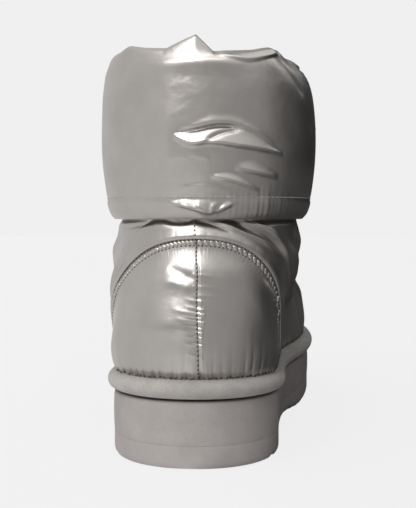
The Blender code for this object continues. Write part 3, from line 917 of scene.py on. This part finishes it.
def build_upper(cloth, arch, material):
    """Foot and shaft in one skin, with the folds of a stuffed boot and gathers over the rand."""
    turns = around(UPPER_AROUND)
    levels = np.linspace(0, TOP_LEVEL, UPPER_ROWS)[:, None]
    rows, normals = upper_face(turns, levels)
    beneath = np.maximum(counter_cover(turns, rows[..., 2]), lip_cover(rows, arch))
    moved = upper_relief(rows, normals, turns, cloth) * (1 - beneath) - UPPER_SUNK * beneath
    inner_levels = np.linspace(TOP_LEVEL, 0, INNER_ROWS)[:, None]
    inner = upper_points(turns, inner_levels, -INNER_SHARE * UPPER_WALL)
    rows = np.concatenate([rows + normals * moved[..., None], inner])
    return place(tube_piece("boot_upper", rows, material), "shell", "upper", fill=0.6)


def upper_relief(points, normals, turns, cloth):
    """How far the padded cloth of foot and shaft comes out: creases, slow swell, and gathers at the rand."""
    over_rand = points[..., 2] - rand_top(turns)
    gathers = np.interp(turns % 1, around(UPPER_AROUND), cloth.gathers)
    gathers = gathers * smoothstep(1 + over_rand / RAND_GATHER_START)
    gathers *= np.exp(-np.maximum(over_rand, 0) / (RAND_GATHERS.fade * MM))
    moved = crease_relief(points, normals, UPPER_CREASES) + gathers
    moved += UPPER_SWELL * swell(points, cloth.waves) * smoothstep(over_rand / UPPER_SWELL_RISE)
    over_hem = points[..., 2] - cuff_hem(turns)
    moved -= HEM_GAP * np.exp(-((over_hem / HEM_GAP_HEIGHT) ** 2))
    under_cuff = smoothstep((over_hem - UNDER_CUFF_START) / UNDER_CUFF_RISE)
    moved = moved * (1 - under_cuff) - UNDER_CUFF_SUNK * under_cuff
    return np.where(moved < 0, DEEPEST_FOLD * np.tanh(moved / DEEPEST_FOLD), moved)


def counter_cover(turns, heights):
    """1 where the heel counter lies over the upper, 0 elsewhere."""
    away = (turns - COUNTER_MIDDLE_TURN + 0.5) % 1 - 0.5
    nearest = np.clip(away, -COUNTER_HALF_TURN, COUNTER_HALF_TURN)
    inside = counter_top(COUNTER_MIDDLE_TURN + nearest) - heights
    return smoothstep(inside / COVER_FADE + COVER_START) * (np.abs(away) < COUNTER_HALF_TURN)


def lip_cover(points, arch):
    """1 where the shaft panel's rolled edge lies over the upper, 0 elsewhere."""
    distance, nearest = nearest_on(arch, points)
    return smoothstep((LIP_REACH * lip_breadth(ARCH_SAMPLES)[nearest] - distance) / LIP_FADE)


def lip_breadth(samples):
    """Share of its full breadth that the rolled edge has along the arched seam: narrow at the rand."""
    from_end = 1 - np.abs(np.linspace(-1, 1, samples))
    return from_low(LIP_END_SHARE, smoothstep(from_end / LIP_END_LENGTH))


def arch_line(samples, reach=ARCH_OVERRUN):
    """Turns and table positions along the arched seam, from the outer side to the inner one."""
    turns = COUNTER_MIDDLE_TURN + COUNTER_HALF_TURN * np.linspace(-reach, reach, samples)
    return turns, levels_at_height(turns, counter_top(turns))


# The heel counter's two halves.

COUNTER_END = 0.998
COUNTER_TUCK = 0.5 * MM
COUNTER_LEAST = 0.4 * MM
COUNTER_BASE = 0.7 * MM
COUNTER_SEAT = 0.1 * MM
COUNTER_SWELL = 0.3 * MM
COUNTER_SWELL_LENGTH = 26 * MM
COUNTER_SHARP_ANGLE = math.radians(60)
EDGE_ARCH = 0.12
EDGE_ARCH_START = 2.4 * MM
EDGE_ARCH_RISE = 14 * MM
EDGE_FOOT = 0.5
EDGE_FOOT_START = 1 * MM
EDGE_FOOT_RISE = 6 * MM
SEAM_DROP = {"counter_lateral": 0.06, "counter_medial": 0.16}
SEAM_DROP_WIDTH = 1.2 * MM
ARCH_GATHERS = (Gathers(2.3, 0.35, 0.35), Gathers(3.5, 0.35, 0.35))
ARCH_GATHERS_BELOW = 2.3 * MM
ARCH_GATHERS_HALF = 1 * MM
ARCH_GATHERS_END = 0.87
ARCH_GATHERS_END_FADE = 0.02
ARCH_TAILS = Gathers(3.1, 0.15, 0.4, 2.2)
ARCH_TAILS_BELOW = 3.6 * MM
ARCH_TAILS_RISE = 1 * MM
FOOT_GATHERS = (Gathers(2.1, 0.8, 0.4, 2.2), Gathers(5.5, 1.0, 0.4, 5.0))
FOOT_GATHERS_LENGTH = 160 * MM
FOOT_GATHERS_TURNS = np.linspace(-0.16, 0.16, 600)

HeelGathers = namedtuple("HeelGathers", "arch arch_step tails foot waves")


def build_counters(arch, material):
    """Two padded halves of the heel counter, gathered under the arch, at the seam and over the rand."""
    length = chord_lengths(arch)[-1]
    gathers = HeelGathers(
        np.concatenate([gathered(kind, length / 2, ARCH_SAMPLES // 2) for kind in ARCH_GATHERS]),
        length / (ARCH_SAMPLES - 1),
        gathered(ARCH_TAILS, length, ARCH_SAMPLES),
        [gathered(kind, FOOT_GATHERS_LENGTH, len(FOOT_GATHERS_TURNS)) for kind in FOOT_GATHERS],
        slow_waves(COUNTER_SWELL_LENGTH),
    )
    halves = (("counter_lateral", -1), ("counter_medial", 1))
    return [build_counter(name, side, arch, gathers, material) for name, side in halves]


def counter_edge(from_arch, over_rand):
    """Share of its full thickness that the padding has near the arched seam and the rand."""
    edge = from_low(EDGE_ARCH, smoothstep((from_arch - EDGE_ARCH_START) / EDGE_ARCH_RISE))
    return edge * from_low(EDGE_FOOT, smoothstep((over_rand + EDGE_FOOT_START) / EDGE_FOOT_RISE))


def arch_gathers(side, from_arch, nearest, gathers):
    """How far the gathers under the arched seam stand out: slanting ridges, and tails below them."""
    below = from_arch - ARCH_GATHERS_BELOW
    along = nearest - side * below / gathers.arch_step
    ridges = np.interp(along, np.arange(ARCH_SAMPLES), gathers.arch)
    ridges *= np.exp(-((below / ARCH_GATHERS_HALF) ** 2))
    below = from_arch - ARCH_TAILS_BELOW
    tails = gathers.tails[nearest] * smoothstep(below / ARCH_TAILS_RISE)
    return ridges + tails * np.exp(-below / (ARCH_TAILS.fade * MM))


def build_counter(name, side, arch, gathers, material):
    """One half of the heel counter. Side is -1 for the outer half and 1 for the inner one."""
    far = COUNTER_MIDDLE_TURN + side * COUNTER_HALF_TURN * COUNTER_END
    up = np.linspace(0, 1, COUNTER_ROWS)[:, None]
    near = seam_turn(up) + side * SEAM_SLIT_TURN
    turns = (near + (far - near) * np.linspace(0, 1, COUNTER_COLUMNS))[:, ::side]
    low = rand_top(turns) - COUNTER_TUCK
    high = np.maximum(counter_top(turns), low + COUNTER_LEAST)
    base, normals = upper_face(turns, levels_at_height(turns, low + (high - low) * up))
    from_arch, nearest = nearest_on(arch, base)
    seam = base[:, :1] if side > 0 else base[:, -1:]
    from_seam = np.linalg.norm(base - seam, axis=-1)
    over_rand = np.maximum(base[..., 2] - rand_top(turns), 0)
    edge = counter_edge(from_arch, over_rand)
    edge *= 1 - SEAM_DROP[name] * (1 - smoothstep(from_seam / SEAM_DROP_WIDTH))
    from_end = COUNTER_HALF_TURN * ARCH_GATHERS_END - np.abs(turns - COUNTER_MIDDLE_TURN)
    out = COUNTER_BASE + COUNTER_PUFF * edge
    out += arch_gathers(side, from_arch, nearest, gathers) * smoothstep(from_end / ARCH_GATHERS_END_FADE)
    for kind, heights in zip(FOOT_GATHERS, gathers.foot):
        out += np.interp(turns, FOOT_GATHERS_TURNS, heights) * np.exp(-over_rand / (kind.fade * MM))
    out += crease_relief(base, normals, COUNTER_CREASES)
    out += COUNTER_SWELL * swell(base, gathers.waves) * edge
    rows = np.concatenate([base + normals * out[..., None], (base + normals * COUNTER_SEAT)[::-1]])
    panel = strip_piece("boot_" + name, rows, material)
    panel.data.set_sharp_from_angle(angle=COUNTER_SHARP_ANGLE)
    return place(panel, "shell", name, fill=0.7)


# The shaft panel's rolled edge over the counter: millimetres beyond the arched line and out from the upper.
LipPoint = namedtuple("LipPoint", "beyond out")

LIP_OUTLINE = (
    LipPoint(14.5, -0.45),
    LipPoint(12.0, 0.06),
    LipPoint(9.0, 0.32),
    LipPoint(6.5, 0.62),
    LipPoint(4.0, 1.1),
    LipPoint(2.0, 1.75),
    LipPoint(0.8, 2.1),
    LipPoint(-0.2, 2.0),
    LipPoint(-0.8, 1.55),
    LipPoint(-0.6, 1.0),
    LipPoint(0.4, 0.5),
    LipPoint(3.0, -0.4),
    LipPoint(6.5, -0.9),
    LipPoint(10.0, -1.0),
    LipPoint(13.5, -1.0),
)
LIP_STEPS = 70
LIP_LENGTH = 190 * MM
LIP_WAVES = Gathers(9, 0.12, 0.4)
LIP_ROLL = 6 * MM
LIP_ROLL_START = 1.1
LIP_ROLL_CALM = 0.6


def build_lip(cloth, material):
    """The shaft panel's rolled edge, lapped over the counter's arched seam."""
    turns, levels = arch_line(LIP_COLUMNS)
    line, normals = upper_face(turns, levels)
    beyond = np.cross(normals, unit(np.gradient(line, axis=0)))
    ahead, behind = (upper_points(turns + step, levels) for step in (PLAN_STEP, -PLAN_STEP))
    per_turn = (ahead - behind) / (2 * PLAN_STEP)
    turn_rate = dot(beyond, per_turn) / dot(per_turn, per_turn)
    far, out = np.hsplit(curve_through(LIP_OUTLINE, LIP_STEPS)[::-1] * MM, 2)
    far = np.where(far > 0, far * lip_breadth(LIP_COLUMNS), far)
    strip_turns = turns + far * turn_rate
    strip_levels = levels_at_height(strip_turns, counter_top(turns) + far * beyond[:, 2])
    rows = upper_points(strip_turns, strip_levels, out)
    normals = upper_normals(strip_turns, strip_levels)
    rolled = smoothstep(LIP_ROLL_START - far / LIP_ROLL)
    moved = gathered(LIP_WAVES, LIP_LENGTH, LIP_COLUMNS) * rolled
    moved = moved + upper_relief(rows, normals, strip_turns, cloth) * (1 - LIP_ROLL_CALM * rolled)
    return place(strip_piece("boot_shaft_edge", rows + normals * moved[..., None], material), "shell")


# The rand.

RAND_SEAT_SHARES = (0.98, 0.5, 0.05)
RAND_CLEARANCE = 0.1 * MM
RAND_SCALLOPS = Gathers(2.2, 0.5, 0.5)
SCALLOPS_FROM = 1.9 / 3
SCALLOPS_RISE = 1 / 3


def build_rand(material):
    """Padded suede band on the platform's edge, with a stitched, slightly scalloped upper edge."""
    turns = around(RAND_AROUND)
    seat = rand_top(turns) - RAND_HEIGHT + SEAT_GAP
    rows = []
    for share in RAND_SEAT_SHARES:
        levels = levels_at_height(turns, seat + share * (RAND_HEIGHT - SEAT_GAP))
        rows.append(upper_points(turns, levels, RAND_CLEARANCE))
    upper_edge, lower_edge = rows[0], rows[-1]
    outline = plan_outline(-RAND_OVERHANG, turns)
    scallops = gathered(RAND_SCALLOPS, FOOT_GIRTH, RAND_AROUND)
    for step in range(1, RAND_STEPS):
        share = step / RAND_STEPS
        angle = math.pi * share
        row = lower_edge + (upper_edge - lower_edge) * (1 - math.cos(angle)) / 2
        row[:, :2] += (outline - row[:, :2]) * math.sin(angle) ** RAND_FULLNESS
        row[:, 2] = np.maximum(row[:, 2], platform_top(row[:, 1]) + RAND_CLEARANCE)
        row[:, 2] += scallops * smoothstep((share - SCALLOPS_FROM) / SCALLOPS_RISE)
        rows.append(row)
    return place(tube_piece("boot_rand", rows, material), "suede", "rand", fill=0.85)


# The sole.

PARTING_STEPS = 5
PARTING_GAP = 0.05 * MM
PARTING_TOP_STEPS = 4
FLANK_SHARES = np.linspace(0.1, 0.9, 9)
EDGE_STEPS = 7
GROOVE_SIDES = 28
TREAD_SHARP_ANGLE = math.radians(38)


def sole_ring(inset, height_of, turns):
    plan = plan_outline(inset, turns)
    return np.column_stack([plan, height_of(plan[:, 1])])


def lower_round(inset, rise, height_of, steps, turns):
    """Rings up a rounded lower edge, out to the full outline."""
    rings = []
    for angle in np.linspace(0, math.pi / 2, steps):
        lift = rise * (1 - math.cos(angle))
        rings.append(sole_ring(inset * (1 - math.sin(angle)), lambda y: height_of(y) + lift, turns))
    return rings


def upper_round(radius, height_of, steps, turns):
    """Rings up a rounded upper edge, in from the full outline."""
    rings = []
    for angle in np.linspace(0, math.pi / 2, steps):
        drop = radius * (1 - math.sin(angle))
        rings.append(sole_ring(radius * (1 - math.cos(angle)), lambda y: height_of(y) - drop, turns))
    return rings


def underside(y):
    """Height of the tread's lowest face over the floor."""
    return toe_lift(y) + arch_lift(y)


def layer_line(y):
    """Height of the line between outsole and platform."""
    return toe_lift(y) + OUTSOLE_HEIGHT


def midsole_foot(y):
    """Height of the platform's lower face."""
    return layer_line(y) + PARTING_GAP


def build_midsole(material):
    """Foam platform: barely full flank, rounded edges and a shallow parting line."""
    turns = around(SOLE_AROUND)
    rings = lower_round(PARTING_ROUND, PARTING_ROUND, midsole_foot, PARTING_STEPS, turns)
    for share in FLANK_SHARES:
        full = FLANK_FULLNESS * math.sin(math.pi * share)
        rings.append(
            sole_ring(-full, lambda y: layer_line(y) + share * (platform_top(y) - layer_line(y)), turns)
        )
    rings += upper_round(SOLE_EDGE_ROUND, platform_top, EDGE_STEPS, turns)
    place(capped_piece("boot_midsole", rings, material), "foam", "midsole")


def groove_bars(material):
    """Round bars in a row along the foot, which cut the tread's grooves."""
    bars = bmesh.new()
    groove_count = int((SOLE_LENGTH - 2 * TREAD_END) / GROOVE_PITCH)
    for i in range(groove_count):
        y = (i - (groove_count - 1) / 2) * GROOVE_PITCH
        centre = Vector((0, y, underside(y) + GROOVE_DEPTH - GROOVE_RADIUS))
        bmesh.ops.create_cone(
            bars,
            cap_ends=True,
            segments=GROOVE_SIDES,
            radius1=GROOVE_RADIUS,
            radius2=GROOVE_RADIUS,
            depth=SOLE_LENGTH / 2,
            matrix=Matrix.Translation(centre) @ Matrix.Rotation(math.pi / 2, 4, "Y"),
        )
    cutter = new_piece("tread_grooves", [], [], material)
    bars.to_mesh(cutter.data)
    bars.free()
    return cutter


def build_outsole(material):
    """Tread layer with rounded grooves across its underside."""
    turns = around(SOLE_AROUND)
    rings = lower_round(TREAD_EDGE_INSET, TREAD_EDGE_HEIGHT, underside, EDGE_STEPS, turns)
    rings.append(sole_ring(0, lambda y: (layer_line(y) + underside(y) + TREAD_EDGE_HEIGHT) / 2, turns))
    rings += upper_round(PARTING_ROUND, layer_line, PARTING_TOP_STEPS, turns)
    outsole = capped_piece("boot_outsole", rings, material)
    cutter = groove_bars(material)
    cut = outsole.modifiers.new("grooves", "BOOLEAN")
    cut.operation = "DIFFERENCE"
    cut.object = cutter
    shaped = bpy.data.meshes.new_from_object(outsole.evaluated_get(bpy.context.evaluated_depsgraph_get()))
    outsole.modifiers.clear()
    outsole.data = shaped
    shaped.shade_smooth()
    shaped.set_sharp_from_angle(angle=TREAD_SHARP_ANGLE)
    bpy.data.objects.remove(cutter, do_unlink=True)
    place(outsole, "tread", "outsole")


# Lining and footbed.

LINING_LEVELS = (0.35, TOP_LEVEL - 0.05)
LINING_BACK_ROWS = 12
LINING_BACK_SHARE = 0.95
LINING_PILE = 1.2 * MM
LINING_CURL = 0.35 * MM
FootbedEdge = namedtuple("FootbedEdge", "rise inset")
INSOLE_EDGE = (FootbedEdge(0, 0), FootbedEdge(0.7, 0), FootbedEdge(0.9, 0.3), FootbedEdge(1.0, 1.2))


def build_lining(material):
    """Fleece on the inside of foot and shaft."""
    turns = around(LINING_AROUND)
    levels, back_levels = (np.linspace(*LINING_LEVELS, n)[:, None] for n in (LINING_ROWS, LINING_BACK_ROWS))
    curls = LINING_CURL * rng.normal(size=(LINING_ROWS, LINING_AROUND))
    inner = upper_points(turns, levels, -UPPER_WALL - LINING_PILE + curls)
    back = upper_points(turns, back_levels, -LINING_BACK_SHARE * UPPER_WALL)
    rows = np.concatenate([back, inner[::-1]])
    place(tube_piece("boot_lining", rows, material), "lining", fill=0.5)


def build_insole(material):
    """Fleece-topped footbed on the platform."""
    turns = around(LINING_AROUND)
    base = rand_top(turns) - RAND_HEIGHT + SEAT_GAP
    rings = []
    for edge in INSOLE_EDGE:
        levels = levels_at_height(turns, base + edge.rise * INSOLE_THICKNESS)
        ring = upper_points(turns, levels, -UPPER_WALL - INSOLE_CLEARANCE - edge.inset * MM)
        ring[:, 2] = platform_top(ring[:, 1]) + SEAT_GAP + edge.rise * INSOLE_THICKNESS
        rings.append(ring)
    place(capped_piece("boot_insole", rings, material), "lining", "insole", fill=0.8)


# Stitches and puckers, in millimetres: sink is how deep their middle line lies in the cloth, below zero
# for over it, and slant how far they turn across their line.
Stitch = namedtuple("Stitch", "length width height pitch sink slant")

HEM_STITCH = Stitch(2.45, 0.36, 0.36, 2.6, -0.15, 0)
SEAM_STITCH = Stitch(1.15, 0.65, 0.55, 1.8, 0.05, -0.5)
ARCH_STITCH = Stitch(0.95, 0.6, 0.5, 1.75, 0.05, 0)
ARCH_PUCKERS = (Stitch(3.4, 2.2, 1.3, 1.8, 0.25, -0.75), Stitch(3.4, 2.2, 1.3, 2.5, 0.25, -0.75))
RAND_STITCH = Stitch(2.0, 0.8, 0.6, 2.3, 0.1, 0.8)
STITCH_AROUND = 8
STITCH_STEPS = 7
STITCH_BLUNTNESS = 3
STITCH_TIP = 0.02
ARCH_LINE_SAMPLES = 300
SEAT_START = 12 * MM
SEAM_FROM = 1 * MM
SEAM_SHORT = 0.5 * MM
SEAM_SAMPLES = 200
SEAM_SIDE = 0.35 * MM
ARCH_ROWS_BELOW = (0.95 * MM, 3.5 * MM)
ARCH_PUCKERS_BELOW = 2.2 * MM
ARCH_STITCHED = 0.965
RAND_STITCH_OVER = 0.9 * MM
RAND_STITCH_SAMPLES = 1200

# A line of stitches: where they are, which way it runs and which way is out.
Line = namedtuple("Line", "centres along out")


def spaced(line, normals, pitch):
    """Places at even steps along a line of points."""
    chord = chord_lengths(line)
    at = np.arange(pitch * MM / 2, chord[-1], pitch * MM)
    centres = np.stack([np.interp(at, chord, values) for values in line.T], axis=-1)
    out = np.stack([np.interp(at, chord, values) for values in normals.T], axis=-1)
    along = unit(np.gradient(centres, axis=0))
    return Line(centres, along, unit(out - along * dot(out, along)[:, None]))


def line_on_upper(turns, heights, pitch, below=0):
    """Places at even steps along a line on the upper, or at a distance below it."""
    line, normals = upper_face(turns, levels_at_height(turns, heights))
    along = unit(np.gradient(line, axis=0))
    return spaced(line - np.cross(normals, along) * below, normals, pitch)


def joined(lines):
    return Line(*(np.concatenate(part) for part in zip(*lines)))


def seated(line, pieces, sink):
    """The places of a line that reach the outermost face of some pieces, moved a little into it."""
    nearest = np.full(len(line.centres), np.inf)
    for piece in pieces:
        mesh = piece.data
        tree = BVHTree.FromPolygons([v.co for v in mesh.vertices], [tuple(p.vertices) for p in mesh.polygons])
        for i, (point, normal) in enumerate(zip(line.centres, line.out)):
            _, _, _, distance = tree.ray_cast(Vector(point + normal * SEAT_START), Vector(-normal))
            if distance is not None:
                nearest[i] = min(nearest[i], distance)
    reached = nearest < 2 * SEAT_START
    moved = SEAT_START - sink * MM - nearest[reached]
    centres, along, out = (part[reached] for part in line)
    return Line(centres + out * moved[:, None], along, out)


def stitches(name, line, kind, slant, material):
    """Many small rounded stitches as one mesh."""
    angles = 2 * math.pi * around(STITCH_AROUND)
    shares = np.linspace(-1, 1, STITCH_STEPS)
    girth = np.sqrt(np.maximum(1 - np.abs(shares) ** STITCH_BLUNTNESS, STITCH_TIP))[:, None, None]
    along = unit(line.along + slant * np.cross(line.out, line.along))
    across = np.cross(line.out, along)
    wide = across[:, None, None] * (np.cos(angles)[:, None] * kind.width * MM / 2)
    tall = line.out[:, None, None] * (np.sin(angles)[:, None] * kind.height * MM / 2)
    spine = line.centres[:, None] + along[:, None] * (shares[:, None] * kind.length * MM / 2)
    points = spine[:, :, None] + (wide + tall) * girth
    size = STITCH_STEPS * STITCH_AROUND
    one = grid_faces(STITCH_STEPS, STITCH_AROUND, False, True)
    one += [list(range(STITCH_AROUND))[::-1], list(range(size - STITCH_AROUND, size))]
    faces = [[i * size + k for k in face] for i in range(len(points)) for face in one]
    place(new_piece(name, points, faces, material), "shell")


def build_hem_stitches(cuff_rows, cuff_normals, material):
    """The line of stitches that holds the cuff's hem."""
    wanted = CUFF_HEM + HEM_LINE_SHARE * (CUFF_RIM - CUFF_HEM)
    row = int(np.abs(cuff_rows[: CUFF_ROWS // 2, 0, 2] - wanted).argmin())
    closed = [np.concatenate([rows[row], rows[row, :1]]) for rows in (cuff_rows, cuff_normals)]
    line = spaced(*closed, HEM_STITCH.pitch)
    line = line._replace(centres=line.centres - line.out * HEM_STITCH.sink * MM)
    stitches("boot_hem_stitches", line, HEM_STITCH, HEM_STITCH.slant, material)


def build_seam_stitches(pieces, material):
    """Short stitches across the centre-back seam, from the rand up to the cuff."""
    heights = np.linspace(COUNTER_FOOT + SEAM_FROM, CUFF_HEM - SEAM_SHORT, SEAM_SAMPLES)
    turns = seam_turn((heights - COUNTER_FOOT) / (COUNTER_APEX - COUNTER_FOOT))
    line = line_on_upper(turns, heights, SEAM_STITCH.pitch)
    sideways = np.cross(line.out, line.along) * SEAM_SIDE
    line = seated(line._replace(centres=line.centres + sideways), pieces, SEAM_STITCH.sink)
    stitches("boot_seam_stitches", line, SEAM_STITCH, SEAM_STITCH.slant, material)


def under_arch(below, pitch, start, stop):
    """Places along the arched seam, at a distance below it."""
    turns = COUNTER_MIDDLE_TURN + COUNTER_HALF_TURN * np.linspace(start, stop, ARCH_LINE_SAMPLES)
    return line_on_upper(turns, counter_top(turns), pitch, below)


def build_arch_seam(pieces, cloth_material, thread_material):
    """Puckers of the counter's edge under the arched seam, between two rows of stitches."""
    spans = ((-ARCH_STITCHED, 0), (0, ARCH_STITCHED))
    lines = [under_arch(ARCH_PUCKERS_BELOW, kind.pitch, *span) for kind, span in zip(ARCH_PUCKERS, spans)]
    kind = ARCH_PUCKERS[0]
    puckers = seated(joined(lines), pieces, kind.sink)
    stitches("boot_arch_puckers", puckers, kind, kind.slant, cloth_material)
    kind = ARCH_STITCH
    lines = [under_arch(below, kind.pitch, -ARCH_STITCHED, ARCH_STITCHED) for below in ARCH_ROWS_BELOW]
    rows = seated(joined(lines), pieces, kind.sink)
    stitches("boot_arch_stitches", rows, kind, kind.slant, thread_material)


def build_rand_stitches(pieces, material):
    """Slanting stitches where the upper meets the rand."""
    turns = around(RAND_STITCH_SAMPLES)
    line = line_on_upper(turns, rand_top(turns) + RAND_STITCH_OVER, RAND_STITCH.pitch)
    line = seated(line, pieces, RAND_STITCH.sink)
    slant = RAND_STITCH.slant * rng.normal(size=(len(line.centres), 1))
    stitches("boot_rand_stitches", line, RAND_STITCH, slant, material)


# Floor, room, light and camera.

CAMERA_PLACE = Vector((28.25, -515.6, 107.6)) * MM
CAMERA_YAW = math.radians(4)
CAMERA_TILT = math.radians(2.5)
FRAME_HEIGHT_PX = 508
FOCAL_PX = 931
SENSOR_MM = 36

# Metres and watts.
Light = namedtuple("Light", "name place target width height watts")

LIGHTS = (
    Light("key", (-0.33, -0.86, 0.84), (0, -0.1, 0.1), 0.4, 0.56, 5),
    Light("top", (-0.15, -0.35, 1.3), (0, 0, 0), 0.9, 0.9, 5),
)

# Brightness of the room by degrees to the right of straight behind the camera: as the cloth mirrors
# it at eye level, high up and on the floor, and as it lights dull faces.
RoomStop = namedtuple("RoomStop", "degrees mirrored above floor soft")

ROOM_LIGHT = (
    RoomStop(-180, 0.30, 0.80, 0.50, 0.20),
    RoomStop(-150, 0.75, 0.80, 0.75, 0.40),
    RoomStop(-90, 0.90, 0.85, 0.85, 0.62),
    RoomStop(-42, 0.78, 0.80, 0.90, 0.66),
    RoomStop(-28, 0.43, 0.80, 0.92, 0.74),
    RoomStop(-14, 0.40, 0.82, 1.10, 0.78),
    RoomStop(0, 0.40, 0.85, 0.66, 0.82),
    RoomStop(20, 0.47, 1.00, 0.48, 0.90),
    RoomStop(40, 0.46, 1.05, 0.40, 1.00),
    RoomStop(58, 0.43, 1.00, 0.32, 0.20),
    RoomStop(80, 0.20, 0.80, 0.10, 0.04),
    RoomStop(95, 0.05, 0.80, 0.02, 0.02),
    RoomStop(115, 0.02, 1.20, 0.01, 0.02),
    RoomStop(138, 0.015, 1.60, 0.01, 0.02),
    RoomStop(155, 0.015, 0.50, 0.01, 0.02),
    RoomStop(180, 0.02, 0.30, 0.01, 0.02),
)
ABOVE_FROM = 0.30
ABOVE_TO = 0.65
BACKDROP = 0.87
FLOOR_SEEN = 0.82
FLOOR_MIDDLE_Y = -100 * MM
FLOOR_RADIUS = 4.0
FLOOR_SIDES = 96
FLOOR_DROP = 0.2 * MM

# Places of the colour sockets on a mix node.
MIX_FIRST = 6
MIX_SECOND = 7
MIX_RESULT = 2


def build_camera():
    camera = add_to_scene("camera", bpy.data.cameras.new("camera"))
    camera.data.sensor_width = SENSOR_MM
    camera.data.lens = FOCAL_PX * SENSOR_MM / FRAME_HEIGHT_PX
    camera.location = CAMERA_PLACE
    camera.rotation_euler = (math.pi / 2 - CAMERA_TILT, 0, CAMERA_YAW)
    bpy.context.scene.camera = camera


def build_light(light):
    made = add_to_scene(light.name, bpy.data.lights.new(light.name, "AREA"))
    made.data.shape = "RECTANGLE"
    made.data.size, made.data.size_y = light.width, light.height
    made.data.energy = light.watts
    made.location = light.place
    toward = Vector(light.target) - Vector(light.place)
    made.rotation_euler = toward.to_track_quat("-Z", "Y").to_euler()
    made.visible_camera = False


def grey(value):
    return (value, value, value, 1)


def room_azimuth(tree, vector, middle_y):
    """The room's azimuth, from 0 to 1, of a place in plan round a point on the middle line."""
    split = add_node(tree, "SeparateXYZ", {"Vector": vector}).outputs
    inputs = {0: split["Y"], 1: -1, 2: middle_y}
    toward = add_node(tree, "Math", inputs, operation="MULTIPLY_ADD").outputs["Value"]
    azimuth = add_node(tree, "Math", {0: split["X"], 1: toward}, operation="ARCTAN2").outputs["Value"]
    inputs = {"Value": azimuth, "From Min": -math.pi, "From Max": math.pi}
    return add_node(tree, "MapRange", inputs).outputs["Result"], split["Z"]


def room_ramp(tree, azimuth, values):
    """A colour ramp over the room's azimuth."""
    ramp = add_node(tree, "ValToRGB", {"Fac": azimuth})
    first, last = ramp.color_ramp.elements
    first.position, last.position = 0, 1
    first.color, last.color = grey(values[0]), grey(values[-1])
    for stop, value in list(zip(ROOM_LIGHT, values))[1:-1]:
        ramp.color_ramp.elements.new(0.5 + stop.degrees / 360).color = grey(value)
    return ramp.outputs["Color"]


def mixed(tree, share, first, second):
    """A mix of two colours."""
    inputs = {"Factor": share, MIX_FIRST: first, MIX_SECOND: second}
    return add_node(tree, "Mix", inputs, data_type="RGBA").outputs[MIX_RESULT]


def build_world():
    """Pale surroundings for the camera; the boot mirrors a room that is lighter on its outer side."""
    world = bpy.data.worlds.new("studio")
    bpy.context.scene.world = world
    world.use_nodes = True
    tree = world.node_tree
    azimuth, up = room_azimuth(tree, add_node(tree, "TexCoord", {}).outputs["Generated"], 0)
    inputs = {"Value": up, "From Min": ABOVE_FROM, "From Max": ABOVE_TO}
    high = add_node(tree, "MapRange", inputs, interpolation_type="SMOOTHSTEP").outputs["Result"]
    ray = add_node(tree, "LightPath", {}).outputs
    mirrored = room_ramp(tree, azimuth, [stop.mirrored for stop in ROOM_LIGHT])
    above = room_ramp(tree, azimuth, [stop.above for stop in ROOM_LIGHT])
    soft = room_ramp(tree, azimuth, [stop.soft for stop in ROOM_LIGHT])
    lit = mixed(tree, ray["Is Glossy Ray"], soft, mixed(tree, high, mirrored, above))
    shown = mixed(tree, ray["Is Camera Ray"], lit, grey(BACKDROP))
    tree.links.new(shown, tree.nodes["Background"].inputs["Color"])


def pale_floor():
    """Pale for the camera; the cloth mirrors it darker on the boot's inner side, where the room is dark."""
    made = Finish("pale_floor", roughness=0.9, emission_color=(1, 1, 1, 1))
    made.colours(made.noise(size=0.4), dark=(0.02, 0.02, 0.02), light=(0.026, 0.026, 0.026))
    azimuth, _ = room_azimuth(made.tree, made.place, FLOOR_MIDDLE_Y)
    mirrored = room_ramp(made.tree, azimuth, [stop.floor for stop in ROOM_LIGHT])
    seen = add_node(made.tree, "LightPath", {}).outputs["Is Camera Ray"]
    inputs = {"Factor": seen, "A": mirrored, "B": FLOOR_SEEN}
    made.drive("Emission Strength", add_node(made.tree, "Mix", inputs).outputs["Result"])
    return made.material


def build_floor():
    angles = 2 * math.pi * around(FLOOR_SIDES)
    x, y = FLOOR_RADIUS * np.cos(angles), FLOOR_RADIUS * np.sin(angles)
    rim = np.column_stack([x, y, np.full(FLOOR_SIDES, -FLOOR_DROP)])
    floor = new_piece("floor", rim, [list(range(FLOOR_SIDES))], pale_floor())


def main():
    nylon, suede, fleece = silver_nylon(), grey_suede(), grey_fleece()
    light_thread = thread("grey_thread", dark=(0.30, 0.295, 0.285), light=(0.52, 0.51, 0.49))
    dark_thread = thread("dark_thread", dark=(0.045, 0.044, 0.042), light=(0.10, 0.098, 0.094))
    foam = taupe_foam("taupe_foam", (0.293, 0.268, 0.257), (0.373, 0.343, 0.330), roughness=0.8)
    tread = taupe_foam("taupe_rubber", (0.288, 0.264, 0.253), (0.363, 0.334, 0.321), roughness=0.7)
    cloth = Cloth(slow_waves(UPPER_SWELL_LENGTH), gathered(RAND_GATHERS, FOOT_GIRTH, UPPER_AROUND))
    arch = upper_points(*arch_line(ARCH_SAMPLES), ARCH_OUT)
    cuff_rows, cuff_normals = build_cuff(nylon)
    upper = build_upper(cloth, arch, nylon)
    panels = build_counters(arch, nylon)
    lip = build_lip(cloth, nylon)
    rand = build_rand(suede)
    build_midsole(foam)
    build_outsole(tread)
    build_lining(fleece)
    build_insole(fleece)
    build_hem_stitches(cuff_rows, cuff_normals, light_thread)
    build_seam_stitches([upper, lip, *panels], dark_thread)
    build_arch_seam(panels, nylon, dark_thread)
    build_rand_stitches([upper, rand, *panels], dark_thread)
    build_floor()
    build_world()
    build_camera()
    for light in LIGHTS:
        build_light(light)
    bpy.context.scene.view_settings.view_transform = "Standard"


main()
